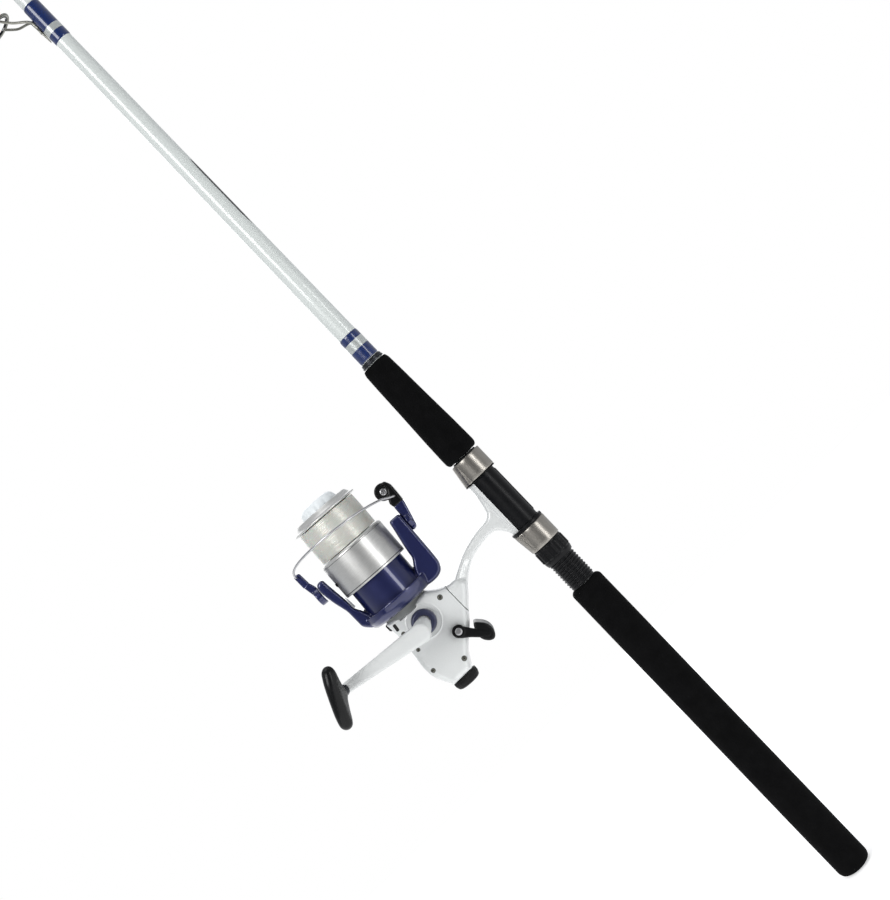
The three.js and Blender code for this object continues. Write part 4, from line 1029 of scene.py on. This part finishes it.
def crank_fittings():
    collar = turned("crank_collar_ring", eased([
        (5.4, 22.8), (10.4, 22.8), (10.5, 25.2), (9.9, 27.4), (8.8, 28.7), (5.4, 28.7),
    ], 0.6, closed=True), CRANK_AXIS @ ABOUT_Y, 96, closed=True)
    place_piece(collar, "crank", "navy", collar_grey, "crank_collar")
    dome = eased([(0, -19.6), (7, -19.6), (7, -21.4), (5.4, -22.4), (0, -22.4)], 0.5)
    cap = turned("crank_end_cap_turned", dome, CRANK_AXIS @ ABOUT_Y, 64)
    place_piece(cap, "crank", "navy", navy, "crank_end_cap")
    cone = turned("knob_spindle_cone", eased([
        (0, 4.4), (4.6, 4.4), (4.8, 5.4), (3.9, 9.1), (2.1, 9.2), (2.1, 24), (0, 24),
    ], 0.4), KNOB @ ABOUT_Y, 48)
    place_piece(cone, "crank", "check_grey", check_grey, "knob_spindle")


def crank_knob():
    """A long paddle, waisted in the middle."""
    half = [(0, 4.6), (-2.6, 7), (-5, 13), (-7.6, 21.4), (-12, 25.6), (-17, 23.6), (-20.6, 14.6), (-21.4, 6)]
    outline = smooth(half + [(x, -z) for x, z in reversed(half)], 120, closed=True)
    turn = Matrix.Rotation(math.radians(20.5), 4, "Y")
    face_on = Matrix.Rotation(math.radians(90), 4, "Z")
    place = KNOB @ turn @ Matrix.Translation((0, -10.3, 0)) @ face_on
    paddle = melted(slab("crank_knob_paddle", outline, -5.6, 5.6, 5.5, 6.4, 16, place), 0.4, 26)
    place_piece(paddle, "knob", "black_plastic", black, "crank_knob")


# ---------------- the hidden works keep their CAD shape ----------------
def works():
    for names, finish in (
        ("drive_gear oscillation_gear slider", zinc), ("pinion", brass), ("drag_washer_felt", felt),
        ("main_bearing crank_bearing_near crank_bearing_far main_shaft rotor_nut drag_washer_steel", steel),
    ):
        for name in names.split():
            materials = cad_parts[name].data.materials
            materials.clear()
            materials.append(finish.material)


# ---------------- stage ----------------
def paper_floor():
    bpy.ops.mesh.primitive_plane_add(size=3, location=(0, 0, -0.0005))
    floor = bpy.context.object
    floor.name = "floor"
    paper = Finish("paper", (0.9, 0.9, 0.9), 0.9, Specular_IOR_Level=0.1, Emission_Color=(1, 1, 1, 1),
                   Emission_Strength=0.5)
    paper.tint(paper.noise(300, 2), 0.995, 1.005)
    floor.data.materials.append(paper.material)


def surroundings():
    """White to the camera; the light it gives is dimmer from in front, so dark pieces stay dark."""
    world = bpy.data.worlds.new("studio")
    bpy.context.scene.world = world
    world.use_nodes = True
    nodes, links = world.node_tree.nodes, world.node_tree.links
    seen = nodes.new("ShaderNodeBackground")
    seen.inputs["Color"].default_value = (1, 1, 1, 1)
    seen.inputs["Strength"].default_value = 1.0
    around = nodes["Background"]
    around.inputs["Color"].default_value = (0.95, 0.97, 1.0, 1)
    direction = nodes.new("ShaderNodeSeparateXYZ")
    links.new(nodes.new("ShaderNodeTexCoord").outputs["Generated"], direction.inputs[0])
    dimming = nodes.new("ShaderNodeMapRange")
    for socket, value in (("From Min", -0.9), ("From Max", 0.15), ("To Min", 0.1), ("To Max", 0.6)):
        dimming.inputs[socket].default_value = value
    links.new(direction.outputs["Y"], dimming.inputs["Value"])
    links.new(dimming.outputs["Result"], around.inputs["Strength"])
    path = nodes.new("ShaderNodeLightPath")
    mix = nodes.new("ShaderNodeMixShader")
    links.new(path.outputs["Is Camera Ray"], mix.inputs["Fac"])
    links.new(around.outputs[0], mix.inputs[1])
    links.new(seen.outputs[0], mix.inputs[2])
    links.new(mix.outputs[0], nodes["World Output"].inputs["Surface"])


def lamps():
    target = Vector((-0.05, 0, 0.45))
    for name, place, size, power in (
        ("key", (-1.0, -1.5, 1.3), (0.9, 0.9), 21),
        ("fill", (1.1, -1.3, 0.3), (0.35, 1.2), 8),
        ("top", (0.1, -0.2, 2.9), (1.4, 1.4), 10),
        ("back", (-0.5, 1.9, 0.9), (1.4, 1.4), 8),
    ):
        light = bpy.data.lights.new(name, "AREA")
        light.shape = "RECTANGLE"
        light.size, light.size_y = size
        light.energy = power
        lamp = bpy.data.objects.new(name, light)
        bpy.context.scene.collection.objects.link(lamp)
        lamp.location = place
        lamp.rotation_euler = (target - lamp.location).to_track_quat("-Z", "Y").to_euler()


def photo_camera():
    lens = bpy.data.cameras.new("camera")
    lens.lens = 64
    lens.sensor_width = 36
    camera = bpy.data.objects.new("camera", lens)
    bpy.context.scene.collection.objects.link(camera)
    right, up, back = Vector((0.7213, 0, -0.6926)), Vector((0.6926, 0, 0.7213)), Vector((0, -1, 0))
    turn = Matrix((right, up, back)).transposed().to_4x4()
    camera.matrix_world = Matrix.Translation((-0.0072, -1.28, 0.468)) @ turn
    bpy.context.scene.camera = camera
    bpy.context.scene.view_settings.view_transform = "Standard"


grips()
blanks()
pinstripe()
wraps()
seat()
locking_nut()
hood("moving_hood", 359, 381, 3, "seat_hood")
hood("fixed_hood", 453, 433, 1.4, "rod")
for settings in GUIDES:
    guide(*settings)
tip_top()
housing()
plate_screws(side_plate())
reverse_switch()
tension_knob()
feeder_lever()
rotor()
bail_arm()
roller_head()
bail_lever()
bail_wire()
line_roller()
spool()
wound_line()
line_clip()
drag_knob()
crank_arm()
crank_fittings()
crank_knob()
works()
paper_floor()
surroundings()
lamps()
photo_camera()
